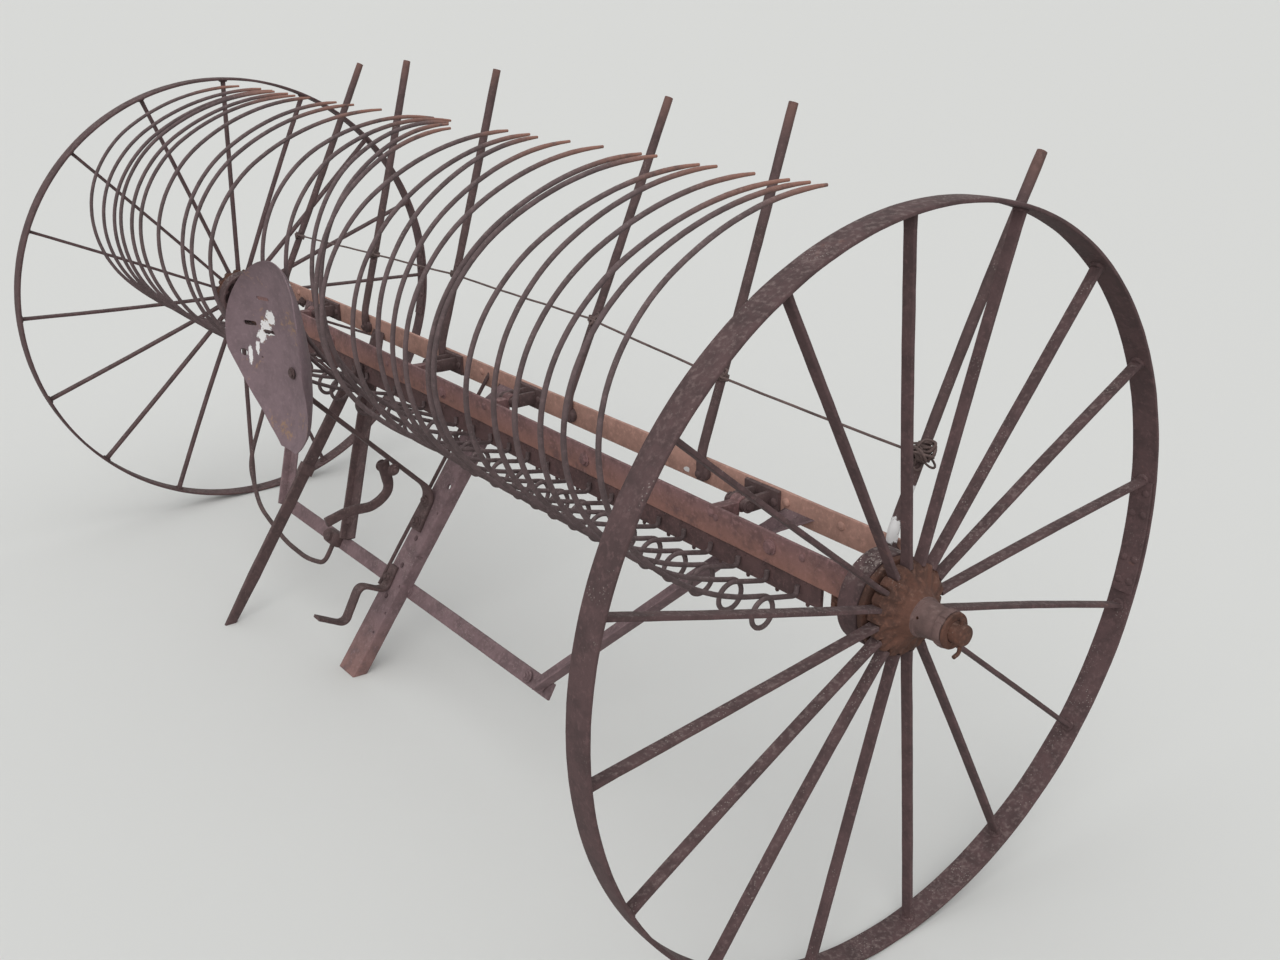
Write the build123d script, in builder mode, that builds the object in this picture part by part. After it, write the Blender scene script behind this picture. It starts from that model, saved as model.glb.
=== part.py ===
from build123d import *
from math import asin, cos, radians, sin, sqrt, tan
import os

os.makedirs("parts", exist_ok=True)

# Horse-drawn hay rake, millimetres. It travels toward -Y, +Z is up, and +X is its near (left) side.
# The origin is on the ground below the middle of the axle line.

# Wheels
WHEEL_R = 700
TRACK_HALF = 1470
RIM_WIDTH = 54
RIM_T = 8
SPOKES = 16
SPOKE_W = 22
SPOKE_T = 8
SPOKE_IN = 5
DISC_T = 30
FLANGE_R = 86
FLANGE_T = 14
FLANGE_IN = 35
BARREL_R = 46
NOSE_OUT = 22
NOSE_R = 34
NOSE_END_R = 27
NOSE_LENGTH = 72
NOSE_SHOULDER = 8
DRUM_R = 88
DRUM_WALL = 8
DRUM_LENGTH = 44
RATCHET_TEETH = 12
RATCHET_DEPTH = 7
RATCHET_W = 14
RATCHET_SINK = 1
NEAR_PHASE = -6
FAR_PHASE = 2

# Spindles that carry the wheels
SPINDLE_R = 19
RUNNING_GAP = 0.5
SPINDLE_COLLAR_R = 60
SPINDLE_COLLAR_T = 8
SPINDLE_SHOULDER = 8
SPINDLE_PLAY = 3
BLOCK_W = 40
BLOCK_HEIGHT = 46
BLOCK_LENGTH = 70
WASHER_R = 33
WASHER_T = 6
SPINDLE_TAIL = 24
LINCH_R = 4
LINCH_LENGTH = 62
LINCH_LOW = 4

# Rake head: a beam of angle iron with the tooth holder below it
BEAM_TO_WHEEL = 92
BEAM_HALF = TRACK_HALF - BEAM_TO_WHEEL
BEAM_FACE_Y = -30
BEAM_BOTTOM = WHEEL_R - 16
BEAM_HEIGHT = 64
BEAM_DEPTH = 60
BEAM_T = 8
HOLDER_SET_BACK = 6
HOLDER_HEIGHT = 52
HOLDER_DEPTH = 50
HOLDER_T = 8
HOLDER_END_IN = 93
HOLDER_HALF = BEAM_HALF - HOLDER_END_IN

# Bolts in the beam's face: across the corners of the head, and places as shares of the beam's half
BOLT_HEAD_R = 14
BOLT_HEAD_T = 9
BOLT_PLACES = (0.838, 0.406, -0.044, -0.508, -0.838)

# Teeth: slots numbered from the near side, some of them empty
TOOTH_SLOTS = 31
HOOK_END_IN = 55
TOOTH_PITCH = 2 * (HOLDER_HALF - HOOK_END_IN) / (TOOTH_SLOTS - 1)
TOOTH_R = 5
HOOK_DROP = 40
HOOK_BEND_R = 9
HOOK_STUB = 10
ARM_LENGTH = 68
TOOTH_RISE = 15
COIL_R = 30
COIL_SHIFT = 11
STRAIGHT_LENGTH = 27

# Rear angle of the frame and the six cleaner rods that stand on it
REAR_FACE_Y = 112
REAR_BOTTOM = WHEEL_R - 2
REAR_HEIGHT = 58
REAR_DEPTH = 45
REAR_T = 8
REAR_END_IN = 26
REAR_HALF = BEAM_HALF - REAR_END_IN
ROD_R = 11
ROD_RISE = 800
ROD_BEND_R = 60
ROD_FOOT_UP = 14
ROD_BEND_ABOVE = 12
ROD_END_IN = 17
WIRE_R = 2

# Cleaner rods: place as a share of the end rod's, height of the wire knot above the bend, and how
# far the rod leans toward +X and back, in degrees
CLEANER_RODS = (
    (1, 132, -2.4, 29.4),
    (0.601, 159, -1.5, 19.4),
    (0.234, 176, -1.5, 25.3),
    (-0.216, 183, -3.5, 18.6),
    (-0.557, 165, -6.3, 18.5),
    (-0.985, 133, -1.5, 27),
)

# Hinges between the frame and the rake head, and their places along the beam
HINGE_Y = 45
HINGE_Z = WHEEL_R + 30
HINGE_PIN_R = 8
HINGE_PIN_TAIL = 6
HINGE_EYE_R = 16
HINGE_LUG_T = 10
HINGE_BARREL = 28
LUG_FOOT_Y = 18
LUG_TOE_Y = 8
LUG_TOP_IN = 8
SIDE_GAP = 1
HINGES = (985, 140, -245, -985)

# The frame's legs, braces and strap lie in one sloping plane below the rear angle
FRAME_SLOPE = 30.4
FRAME_TOP_Y = REAR_FACE_Y - 12
FRAME_TOP_Z = WHEEL_R
TOP_OVERRUN = 60
LEG_WIDTH = 80
LEG_DEPTH = 34
LEG_T = 7
LEG_END = 860
LEG_TOP_X = 20
LEG_DRIFT = 0.13
LEG_HOLE_R = 8
LEG_HOLES = (430, 510, 600)
STRAP_AT = 563
STRAP_WIDTH = 40
STRAP_T = 8
STRAP_NEAR_X = 630
STRAP_FAR_X = -800
FAR_LEG_TOP_X = -660
FAR_LEG_FOOT_X = -372
FAR_LEG_W = 40
FAR_LEG_T = 7
FAR_LEG_DEPTH = 28
FAR_LEG_DRIFT = 0.5
BRACE_WIDTH = 36
BRACE_DEPTH = 30
BRACE_T = 6
BRACE_NEAR_IN = 40
BRACE_FAR_IN = 35
BRACE_NEAR_SPREAD = 459
BRACE_FAR_SPREAD = 350

# Seat on its spring bar
SEAT_X = -25
SEAT_Y = -426
SEAT_Z = WHEEL_R + 188
SEAT_HALF_W = 212
SEAT_TOP = 225
SEAT_BOTTOM = 222
SEAT_T = 4
SEAT_SIDE_R = 330
SEAT_RISE_R = 720
SEAT_MARGIN = 36
SEAT_WIDEST = 10
SEAT_POINT_HALF = 40
SEAT_BAR_X = -48
SEAT_BAR_W = 45
SEAT_BAR_T = 10
BAR_FOOT_AT = 410
BAR_TURN_AT = 300
BAR_TURN_R = 22
BAR_BEND_R = 60
BAR_BEND_BELOW = 92
BAR_TOP_BELOW = 25

# Foot lever on the seat bar: its bolt, its reach and drop, and its bends as shares of those two
FOOT_LEVER_T = 12
FOOT_LEVER_W = 24
FOOT_LEVER_Y = -205
FOOT_LEVER_Z = WHEEL_R - 140
FOOT_LEVER_REACH = 166
FOOT_LEVER_DROP = 124
FOOT_LEVER_BEND_R = 24
FOOT_LEVER_BENDS = ((0, 0), (0.09, -0.645), (-0.211, -0.919), (-0.633, -0.871), (-1, -1))

# Pedal on the near leg: its strip, and its hook as shares of its reach from the leg
PEDAL_X = -70
PEDAL_W = 34
PEDAL_T = 8
PEDAL_FROM = 520
PEDAL_TO = 590
PEDAL_REACH = 191
PEDAL_BEND_R = 18
PEDAL_BENDS = ((-0.358, 0.186), (-0.62, -0.317), (-1, -0.107))

# Casting at the foot of the far leg, with the bent rod and the trip rod
CASTING_X = -440
CASTING_L = 120
CASTING_T = 26
BENT_R = 7
BENT_END_IN = 157
BENT_STUB = 40
BENT_DROP = 97
BENT_SPREAD = 122
BENT_SIDE_AT = 233
BENT_CORNER_AT = 43
BENT_HOOK_R = 18
BENT_WIDE_R = 60
TRIP_R = 5
TRIP_TOP_X = -66
TRIP_FOOT_X = -151
TRIP_PAST = 12

# Hand lever of the rake head
LEVER_X = -537
LEVER_W = 34
LEVER_T = 14
LEVER_TOP_Y = -65
LEVER_TOP_Z = BEAM_BOTTOM - 52
LEVER_FOOT_Y = -486
LEVER_NECK = 16
LEVER_PLATE_T = 8
LEVER_PLATE_W = 38
LEVER_PLATE_DROP = 4
CUT_BELOW = 60

# Pieces that seat on one another without touching stand this far apart
SEAT_GAP = 0.3

# Slot number: swing, lean and pitch in degrees. Swing turns a tooth's front toward +X, lean its
# top toward +X, and pitch its top back. Slots 18, 20 and 23 have lost their teeth.
NEAR_TEETH = {
    0: (3, 0, 0),
    1: (-1, 3, 0),
    2: (-1, 5.5, 0),
    3: (0, 5, 0),
    4: (3, 3.5, 0),
    5: (0, 6, 0),
    6: (-1, 2.6, 0),
    7: (4, 5, 0),
    8: (6, 2, 0),
    9: (11, 0, 0),
    10: (15, -2, 0),
    11: (10, 0.7, 0),
    12: (4.5, 0, 0),
    13: (18.5, -8, 0),
    14: (23, -6, 3),
    15: (22, -6, 8),
}
FAR_TEETH = {
    16: (13, -5, 9.5),
    17: (9, -6, 9),
    19: (1, -2, 0),
    21: (5, -1, 0),
    22: (8, -2, 0),
    24: (7, -2.2, 0),
    25: (2, -4.2, 0),
    26: (1, -2, 0),
    27: (0.5, -3, 0),
    28: (-1, 2, 0),
    29: (-3, 2, 0),
    30: (-1, -5, 0),
}

# Bends of a tooth above its straight: radius and turn in degrees
TOOTH_BENDS = ((586, 33), (282, 74), (351, 26), (627, 33))

AXLE_Z = WHEEL_R
HOLDER_FACE_Y = BEAM_FACE_Y + HOLDER_SET_BACK
HOOK_Y = HOLDER_FACE_Y - TOOTH_R - SEAT_GAP
HOOK_Z = BEAM_BOTTOM - HOOK_DROP
ALONG = Vector(0, -sin(radians(FRAME_SLOPE)), -cos(radians(FRAME_SLOPE)))
OUTWARD = Vector(0, -cos(radians(FRAME_SLOPE)), sin(radians(FRAME_SLOPE)))
FRAME_TOP = Vector(0, FRAME_TOP_Y, FRAME_TOP_Z)
REAR_FACE = Plane(origin=(0, REAR_FACE_Y, 0), x_dir=(1, 0, 0), z_dir=(0, -1, 0))
GROUND = Plane.XY


def on_frame(x, down, out=0):
    """Point of the sloping frame plane: x, distance down the slope, height off the plane."""
    return FRAME_TOP + ALONG * down + OUTWARD * out + Vector(x, 0, 0)


def section_plane(start, end):
    """Plane across a straight bar, its local Y pointing off the frame plane."""
    axis = (end - start).normalized()
    return Plane(origin=start, x_dir=OUTWARD.cross(axis), z_dir=axis)


def across(path, wide=(1, 0, 0)):
    """Plane across the start of a path, its local X along the given direction."""
    return Plane(origin=path @ 0, x_dir=wide, z_dir=path % 0)


def finish(part, name):
    """Label a finished piece and write it."""
    part.label = name
    export_step(part, f"parts/{name}.step")


# Frame of the rake

with BuildPart() as rear_angle:
    with BuildSketch(Plane.YZ.offset(-REAR_HALF)):
        with Locations((REAR_FACE_Y, REAR_BOTTOM)):
            Rectangle(REAR_T, REAR_HEIGHT, align=(Align.MIN, Align.MIN))
            Rectangle(REAR_DEPTH, REAR_T, align=(Align.MIN, Align.MIN))
    extrude(amount=2 * REAR_HALF)
finish(rear_angle.part, "rear_angle")

leg_start = on_frame(LEG_TOP_X + TOP_OVERRUN * LEG_DRIFT, -TOP_OVERRUN)
leg_end = on_frame(LEG_TOP_X - LEG_END * LEG_DRIFT, LEG_END)

with BuildPart() as leg_near:
    with BuildSketch(section_plane(leg_start, leg_end)):
        Rectangle(LEG_WIDTH, LEG_DEPTH, align=(Align.CENTER, Align.MIN))
        Rectangle(
            LEG_WIDTH - 2 * LEG_T,
            LEG_DEPTH - LEG_T,
            align=(Align.CENTER, Align.MIN),
            mode=Mode.SUBTRACT,
        )
    extrude(amount=(leg_end - leg_start).length)
    split(bisect_by=REAR_FACE, keep=Keep.TOP)
    split(bisect_by=GROUND, keep=Keep.TOP)
    for down in LEG_HOLES:
        with Locations(Plane(on_frame(LEG_TOP_X - down * LEG_DRIFT, down, LEG_DEPTH), z_dir=OUTWARD)):
            Hole(LEG_HOLE_R, depth=LEG_T + SIDE_GAP)
finish(leg_near.part, "leg_near")

far_start = on_frame(FAR_LEG_TOP_X - TOP_OVERRUN * FAR_LEG_DRIFT, -TOP_OVERRUN)
far_end = on_frame(FAR_LEG_FOOT_X, STRAP_AT - STRAP_WIDTH / 2 - SIDE_GAP)

with BuildPart() as leg_far:
    with BuildSketch(section_plane(far_start, far_end)):
        Rectangle(FAR_LEG_W, FAR_LEG_T, align=(Align.CENTER, Align.MIN))
        with Locations((-FAR_LEG_W / 2, 0)):
            Rectangle(FAR_LEG_T, FAR_LEG_DEPTH, align=(Align.MIN, Align.MIN))
    extrude(amount=(far_end - far_start).length)
    split(bisect_by=REAR_FACE, keep=Keep.TOP)
finish(leg_far.part, "leg_far")

strap_start = on_frame(STRAP_FAR_X, STRAP_AT, -STRAP_T - SEAT_GAP)
strap_end = on_frame(STRAP_NEAR_X, STRAP_AT, -STRAP_T - SEAT_GAP)

with BuildPart() as cross_strap:
    with BuildSketch(section_plane(strap_start, strap_end)):
        Rectangle(STRAP_WIDTH, STRAP_T, align=(Align.CENTER, Align.MIN))
    extrude(amount=STRAP_NEAR_X - STRAP_FAR_X)
finish(cross_strap.part, "cross_strap")

BRACES = (
    ("near", 1, STRAP_NEAR_X - BRACE_NEAR_IN, BRACE_NEAR_SPREAD),
    ("far", -1, STRAP_FAR_X + BRACE_FAR_IN, -BRACE_FAR_SPREAD),
)

for side, way, foot_x, spread in BRACES:
    foot = on_frame(foot_x, STRAP_AT)
    start = on_frame(foot_x + spread * (1 + TOP_OVERRUN / STRAP_AT), -TOP_OVERRUN)
    with BuildPart() as brace:
        with BuildSketch(section_plane(start, foot)):
            Rectangle(BRACE_WIDTH, BRACE_T, align=(Align.CENTER, Align.MIN))
            with Locations((way * BRACE_WIDTH / 2, 0)):
                flange_align = Align.MAX if way > 0 else Align.MIN
                Rectangle(BRACE_T, BRACE_DEPTH, align=(flange_align, Align.MIN))
        extrude(amount=(foot - start).length)
        split(bisect_by=REAR_FACE, keep=Keep.TOP)
    finish(brace.part, f"brace_{side}")

rod_foot_y = REAR_FACE_Y - ROD_R - SEAT_GAP
rod_foot_z = REAR_BOTTOM + ROD_FOOT_UP
rod_bend_z = REAR_BOTTOM + REAR_HEIGHT + ROD_BEND_ABOVE
rod_slant = ROD_RISE - (rod_bend_z - rod_foot_z)
rods = []
for share, knot_up, side_lean, back_lean in CLEANER_RODS:
    bend = Vector(share * (REAR_HALF - ROD_END_IN), rod_foot_y, rod_bend_z)
    way = Vector(tan(radians(side_lean)), tan(radians(back_lean)), 1)
    rods.append((bend, way.normalized(), bend + way * knot_up))

with BuildPart() as cleaner_rods:
    for bend, way, knot in rods:
        with BuildLine() as rod_path:
            FilletPolyline(
                (bend.X, bend.Y, rod_foot_z),
                bend,
                bend + way * rod_slant,
                radius=ROD_BEND_R,
            )
        with BuildSketch(across(rod_path.line)):
            Circle(ROD_R)
        sweep(path=rod_path.line)
finish(cleaner_rods.part, "cleaner_rods")

knot_r = ROD_R + SEAT_GAP + WIRE_R
wire_stops = []

with BuildPart() as tie_wire:
    for bend, way, knot in rods:
        front = Vector(1, 0, 0).cross(way).normalized()
        with BuildSketch(Plane(origin=knot + front * knot_r, x_dir=front, z_dir=way.cross(front))):
            Circle(WIRE_R)
        revolve(axis=Axis(knot, way))
        wire_stops.append(knot + front * (knot_r + 2 * WIRE_R + SEAT_GAP))
    for one, other in zip(wire_stops, wire_stops[1:]):
        wire_way = (other - one).normalized()
        with BuildSketch(Plane(origin=one + wire_way * SEAT_GAP, z_dir=wire_way)):
            Circle(WIRE_R)
        extrude(amount=(other - one).length - 2 * SEAT_GAP)
finish(tie_wire.part, "tie_wire")

with BuildPart() as hinge_brackets:
    for hinge_x in HINGES:
        for way in (-1, 1):
            inner = hinge_x + way * (HINGE_BARREL / 2 + SIDE_GAP)
            with BuildSketch(Plane.YZ.offset(inner)):
                with Locations((HINGE_Y, HINGE_Z)):
                    Circle(HINGE_EYE_R)
                    Rectangle(
                        REAR_FACE_Y - HINGE_Y,
                        2 * HINGE_EYE_R,
                        align=(Align.MIN, Align.CENTER),
                    )
                    Circle(HINGE_PIN_R + SEAT_GAP, mode=Mode.SUBTRACT)
            extrude(amount=way * HINGE_LUG_T)
finish(hinge_brackets.part, "hinge_brackets")

pin_reach = HINGE_BARREL / 2 + SIDE_GAP + HINGE_LUG_T + HINGE_PIN_TAIL

with BuildPart() as hinge_pins:
    for hinge_x in HINGES:
        with BuildSketch(Plane.YZ.offset(hinge_x - pin_reach)):
            with Locations((HINGE_Y, HINGE_Z)):
                Circle(HINGE_PIN_R)
        extrude(amount=2 * pin_reach)
finish(hinge_pins.part, "hinge_pins")

# Seat bar: a flat foot on the near leg, a long slope and an upright end behind the pan
bar_back = SEAT_Y + SEAT_T + SEAT_GAP + SEAT_BAR_T / 2
bar_lift = LEG_DEPTH + SEAT_GAP + SEAT_BAR_T / 2

with BuildPart() as seat_bar:
    with BuildLine() as bar_path:
        FilletPolyline(
            on_frame(SEAT_BAR_X, BAR_FOOT_AT, bar_lift),
            on_frame(SEAT_BAR_X, BAR_TURN_AT, bar_lift),
            (SEAT_BAR_X, bar_back, SEAT_Z - BAR_BEND_BELOW),
            (SEAT_BAR_X, bar_back, SEAT_Z - BAR_TOP_BELOW),
            radius=(BAR_TURN_R, BAR_BEND_R),
        )
    with BuildSketch(across(bar_path.line)):
        Rectangle(SEAT_BAR_W, SEAT_BAR_T)
    sweep(path=bar_path.line)
finish(seat_bar.part, "seat_bar")

# Seat pan: sheet curved from side to side and, more gently, from top to bottom
with BuildPart() as seat_pan:
    side_axis = Axis((SEAT_X, SEAT_Y - SEAT_SIDE_R, SEAT_Z), (0, 0, 1))
    reach = SEAT_TOP + SEAT_MARGIN
    with BuildSketch(Plane.YZ.offset(SEAT_X)):
        with BuildLine():
            sag = SEAT_RISE_R - sqrt(SEAT_RISE_R**2 - reach**2)
            top_in = (SEAT_Y - sag, SEAT_Z + reach)
            bottom_in = (SEAT_Y - sag, SEAT_Z - reach)
            top_out = (SEAT_Y - sag + SEAT_T, SEAT_Z + reach)
            bottom_out = (SEAT_Y - sag + SEAT_T, SEAT_Z - reach)
            ThreePointArc(bottom_in, (SEAT_Y, SEAT_Z), top_in)
            Line(top_in, top_out)
            ThreePointArc(top_out, (SEAT_Y + SEAT_T, SEAT_Z), bottom_out)
            Line(bottom_out, bottom_in)
        make_face()
    revolve(axis=side_axis, revolution_arc=60)
    mirror(about=Plane.YZ.offset(SEAT_X))
    pan_back = (SEAT_X, SEAT_Y + SEAT_MARGIN, SEAT_Z)
    with BuildSketch(Plane(origin=pan_back, x_dir=(1, 0, 0), z_dir=(0, -1, 0))):
        with BuildLine():
            ThreePointArc(
                (-SEAT_HALF_W, -SEAT_WIDEST),
                (-SEAT_HALF_W * 0.66, SEAT_TOP * 0.76),
                (0, SEAT_TOP),
            )
            ThreePointArc(
                (0, SEAT_TOP),
                (SEAT_HALF_W * 0.66, SEAT_TOP * 0.76),
                (SEAT_HALF_W, -SEAT_WIDEST),
            )
            ThreePointArc(
                (SEAT_HALF_W, -SEAT_WIDEST),
                (SEAT_HALF_W * 0.62, -SEAT_BOTTOM * 0.66),
                (SEAT_POINT_HALF, -SEAT_BOTTOM),
            )
            Line((SEAT_POINT_HALF, -SEAT_BOTTOM), (-SEAT_POINT_HALF, -SEAT_BOTTOM))
            ThreePointArc(
                (-SEAT_POINT_HALF, -SEAT_BOTTOM),
                (-SEAT_HALF_W * 0.62, -SEAT_BOTTOM * 0.66),
                (-SEAT_HALF_W, -SEAT_WIDEST),
            )
        make_face()
    extrude(amount=SEAT_SIDE_R, mode=Mode.INTERSECT)
finish(seat_pan.part, "seat_pan")

# Foot lever: a bent flat bar on the side of the seat bar
foot_lever_points = [
    (FOOT_LEVER_Y + FOOT_LEVER_REACH * ahead_share, FOOT_LEVER_Z + FOOT_LEVER_DROP * up_share)
    for ahead_share, up_share in FOOT_LEVER_BENDS
]

with BuildPart() as foot_lever:
    with BuildLine(Plane.YZ.offset(SEAT_BAR_X - SEAT_BAR_W / 2 - SEAT_GAP)) as foot_path:
        FilletPolyline(*foot_lever_points, radius=FOOT_LEVER_BEND_R)
    with BuildSketch(across(foot_path.line)):
        Rectangle(FOOT_LEVER_T, FOOT_LEVER_W, align=(Align.MAX, Align.CENTER))
    sweep(path=foot_path.line)
finish(foot_lever.part, "foot_lever")

# Pedal: a hooked strip on the front of the near leg
pedal_lift = LEG_DEPTH + SEAT_GAP + PEDAL_T / 2
pedal_root = on_frame(PEDAL_X, PEDAL_TO, pedal_lift)
pedal_hook = [pedal_root + Vector(0, ahead, up) * PEDAL_REACH for ahead, up in PEDAL_BENDS]

with BuildPart() as pedal:
    with BuildLine() as pedal_path:
        FilletPolyline(
            on_frame(PEDAL_X, PEDAL_FROM, pedal_lift),
            pedal_root,
            *pedal_hook,
            radius=PEDAL_BEND_R,
        )
    with BuildSketch(across(pedal_path.line)):
        Rectangle(PEDAL_W, PEDAL_T)
    sweep(path=pedal_path.line)
finish(pedal.part, "pedal")

# Casting where the far leg meets the strap, with a boss for the bent rod

with BuildPart() as latch_casting:
    with BuildSketch(Plane(on_frame(CASTING_X, STRAP_AT, SEAT_GAP), x_dir=(1, 0, 0), z_dir=OUTWARD)):
        Rectangle(CASTING_L / 2, STRAP_WIDTH)
        with Locations((-CASTING_L / 4, 0)):
            Circle(STRAP_WIDTH / 2)
    extrude(amount=CASTING_T)
finish(latch_casting.part, "latch_casting")

# Bent rod: from the rear angle down round the frame to the casting
bent_x = -REAR_HALF + BENT_END_IN
bent_z = REAR_BOTTOM + ROD_FOOT_UP
bent_low = STRAP_AT + BENT_DROP
bent_mouth = STRAP_AT + STRAP_WIDTH / 2 + SEAT_GAP

with BuildPart() as bent_rod:
    with BuildLine() as bent_path:
        FilletPolyline(
            (bent_x, REAR_FACE_Y - SEAT_GAP, bent_z),
            (bent_x, REAR_FACE_Y - BENT_STUB, bent_z),
            on_frame(bent_x + BENT_CORNER_AT, STRAP_AT - BENT_SIDE_AT, BENT_R),
            on_frame(bent_x + BENT_DROP, STRAP_AT - BENT_CORNER_AT, BENT_R),
            on_frame(STRAP_FAR_X - BENT_SPREAD, STRAP_AT + 0.6 * BENT_DROP, BENT_R),
            on_frame(STRAP_FAR_X + BENT_DROP, bent_low, BENT_R),
            on_frame(CASTING_X - 0.9 * BENT_DROP, bent_low, BENT_R),
            on_frame(CASTING_X, STRAP_AT + 0.8 * BENT_DROP, BENT_R),
            on_frame(CASTING_X, bent_mouth, BENT_R),
            radius=(BENT_HOOK_R, *[BENT_WIDE_R] * 5, BENT_HOOK_R),
        )
    with BuildSketch(across(bent_path.line)):
        Circle(BENT_R)
    sweep(path=bent_path.line)
finish(bent_rod.part, "bent_rod")

# Trip rod: a thin straight rod beside the near leg
trip_start = on_frame(TRIP_TOP_X, -TOP_OVERRUN, TRIP_R + SEAT_GAP)
trip_end = on_frame(TRIP_FOOT_X, STRAP_AT + STRAP_WIDTH / 2 + TRIP_PAST, TRIP_R + SEAT_GAP)

with BuildPart() as trip_rod:
    with BuildSketch(section_plane(trip_start, trip_end)):
        Circle(TRIP_R)
    extrude(amount=(trip_end - trip_start).length)
    split(bisect_by=REAR_FACE, keep=Keep.TOP)
finish(trip_rod.part, "trip_rod")

# Rake head

with BuildPart() as main_beam:
    with BuildSketch(Plane.YZ.offset(-BEAM_HALF)):
        with Locations((BEAM_FACE_Y, BEAM_BOTTOM)):
            Rectangle(BEAM_T, BEAM_HEIGHT, align=(Align.MIN, Align.MIN))
            Rectangle(BEAM_DEPTH, BEAM_T, align=(Align.MIN, Align.MIN))
    extrude(amount=2 * BEAM_HALF)
finish(main_beam.part, "main_beam")

with BuildPart() as tooth_holder:
    with BuildSketch(Plane.YZ.offset(-HOLDER_HALF)):
        with Locations((HOLDER_FACE_Y, BEAM_BOTTOM)):
            Rectangle(HOLDER_T, HOLDER_HEIGHT, align=(Align.MIN, Align.MAX))
            Rectangle(HOLDER_DEPTH, HOLDER_T, align=(Align.MIN, Align.MAX))
    extrude(amount=2 * HOLDER_HALF)
finish(tooth_holder.part, "tooth_holder")

# One tooth in its own frame: hooked end at the origin, arm forward and up, a full coil, a long bend
rise = radians(TOOTH_RISE)
ahead = Vector(0, -cos(rise), sin(rise))
under = Vector(0, -sin(rise), -cos(rise))
stub_foot = Vector(0, 0, HOOK_BEND_R)
arm_start = stub_foot + Vector(0, -HOOK_BEND_R, 0) + under * HOOK_BEND_R
arm_end = arm_start + ahead * ARM_LENGTH
coil_low = arm_end + under * (2 * COIL_R) - Vector(COIL_SHIFT / 2, 0, 0)
coil_end = arm_end - Vector(COIL_SHIFT, 0, 0)

with BuildPart() as tooth:
    with BuildLine() as tooth_path:
        Line(stub_foot + Vector(0, 0, HOOK_STUB), stub_foot)
        TangentArc(stub_foot, arm_start, tangent=(0, 0, -1))
        Line(arm_start, arm_end)
        TangentArc(arm_end, coil_low, tangent=ahead)
        TangentArc(coil_low, coil_end, tangent=-ahead)
        point = coil_end + ahead * STRAIGHT_LENGTH
        Line(coil_end, point)
        heading = rise
        for bend_r, turn in TOOTH_BENDS:
            middle = heading + radians(turn) / 2
            last = heading + radians(turn)
            centre = point + Vector(0, sin(heading), cos(heading)) * bend_r
            half_way = centre - Vector(0, sin(middle), cos(middle)) * bend_r
            bend_end = centre - Vector(0, sin(last), cos(last)) * bend_r
            ThreePointArc(point, half_way, bend_end)
            point = bend_end
            heading = last
    with BuildSketch(Plane(origin=tooth_path.line @ 0, x_dir=(1, 0, 0), z_dir=tooth_path.line % 0)):
        Circle(TOOTH_R)
    sweep(path=tooth_path.line)


def tooth_place(slot, swing, lean, pitch):
    """Where a tooth hooks into the holder, and how it stands there."""
    stand = Rot(0, 0, swing) * Rot(0, lean, 0) * Rot(-pitch, 0, 0)
    stub_top_y = (stand * Pos(0, 0, HOOK_STUB + HOOK_BEND_R)).position.Y
    hook_x = HOLDER_HALF - HOOK_END_IN - slot * TOOTH_PITCH
    return Pos(hook_x, HOOK_Y - max(stub_top_y, 0), HOOK_Z) * stand


for side, teeth_table in (("near", NEAR_TEETH), ("far", FAR_TEETH)):
    places = [tooth_place(slot, *angles) for slot, angles in teeth_table.items()]
    with BuildPart() as teeth:
        with Locations(*places):
            add(tooth.part)
    finish(teeth.part, f"teeth_{side}")

beam_back_y = BEAM_FACE_Y + BEAM_T
beam_floor_z = BEAM_BOTTOM + BEAM_T

with BuildPart() as hinge_lugs:
    for hinge_x in HINGES:
        with BuildSketch(Plane.YZ.offset(hinge_x - HINGE_BARREL / 2)):
            with BuildLine():
                Polyline(
                    (beam_back_y, beam_floor_z),
                    (HINGE_Y - LUG_FOOT_Y, beam_floor_z),
                    (HINGE_Y + LUG_TOE_Y, HINGE_Z - HINGE_EYE_R + LUG_TOE_Y / 2),
                    (HINGE_Y, HINGE_Z + HINGE_EYE_R),
                    (beam_back_y, BEAM_BOTTOM + BEAM_HEIGHT - LUG_TOP_IN),
                    close=True,
                )
            make_face()
            with Locations((HINGE_Y, HINGE_Z)):
                Circle(HINGE_EYE_R)
                Circle(HINGE_PIN_R + RUNNING_GAP, mode=Mode.SUBTRACT)
        extrude(amount=HINGE_BARREL)
finish(hinge_lugs.part, "hinge_lugs")

plate_back = HOLDER_FACE_Y - SEAT_GAP
plate_top = BEAM_BOTTOM - LEVER_PLATE_DROP
plate_middle = plate_back - LEVER_PLATE_T / 2
lever_slope = (LEVER_TOP_Y - LEVER_FOOT_Y) / LEVER_TOP_Z
half_lever = LEVER_W / 2 * sqrt(1 + lever_slope**2)
cut_y = LEVER_FOOT_Y - lever_slope * CUT_BELOW

with BuildPart() as hand_lever:
    with BuildSketch(Plane.YZ.offset(LEVER_X - LEVER_PLATE_W / 2)):
        with Locations((plate_back, plate_top)):
            Rectangle(LEVER_PLATE_T, HOLDER_HEIGHT, align=(Align.MAX, Align.MAX))
    extrude(amount=LEVER_PLATE_W)
    with BuildSketch(Plane.YZ.offset(LEVER_X - LEVER_T / 2)):
        with BuildLine():
            Polyline(
                (plate_middle, plate_top),
                (plate_middle, LEVER_TOP_Z + LEVER_NECK),
                (LEVER_TOP_Y + half_lever, LEVER_TOP_Z),
                (cut_y + half_lever, -CUT_BELOW),
                (cut_y - half_lever, -CUT_BELOW),
                (LEVER_TOP_Y - half_lever, LEVER_TOP_Z),
                close=True,
            )
        make_face()
    extrude(amount=LEVER_T)
    split(bisect_by=GROUND, keep=Keep.TOP)
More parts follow.
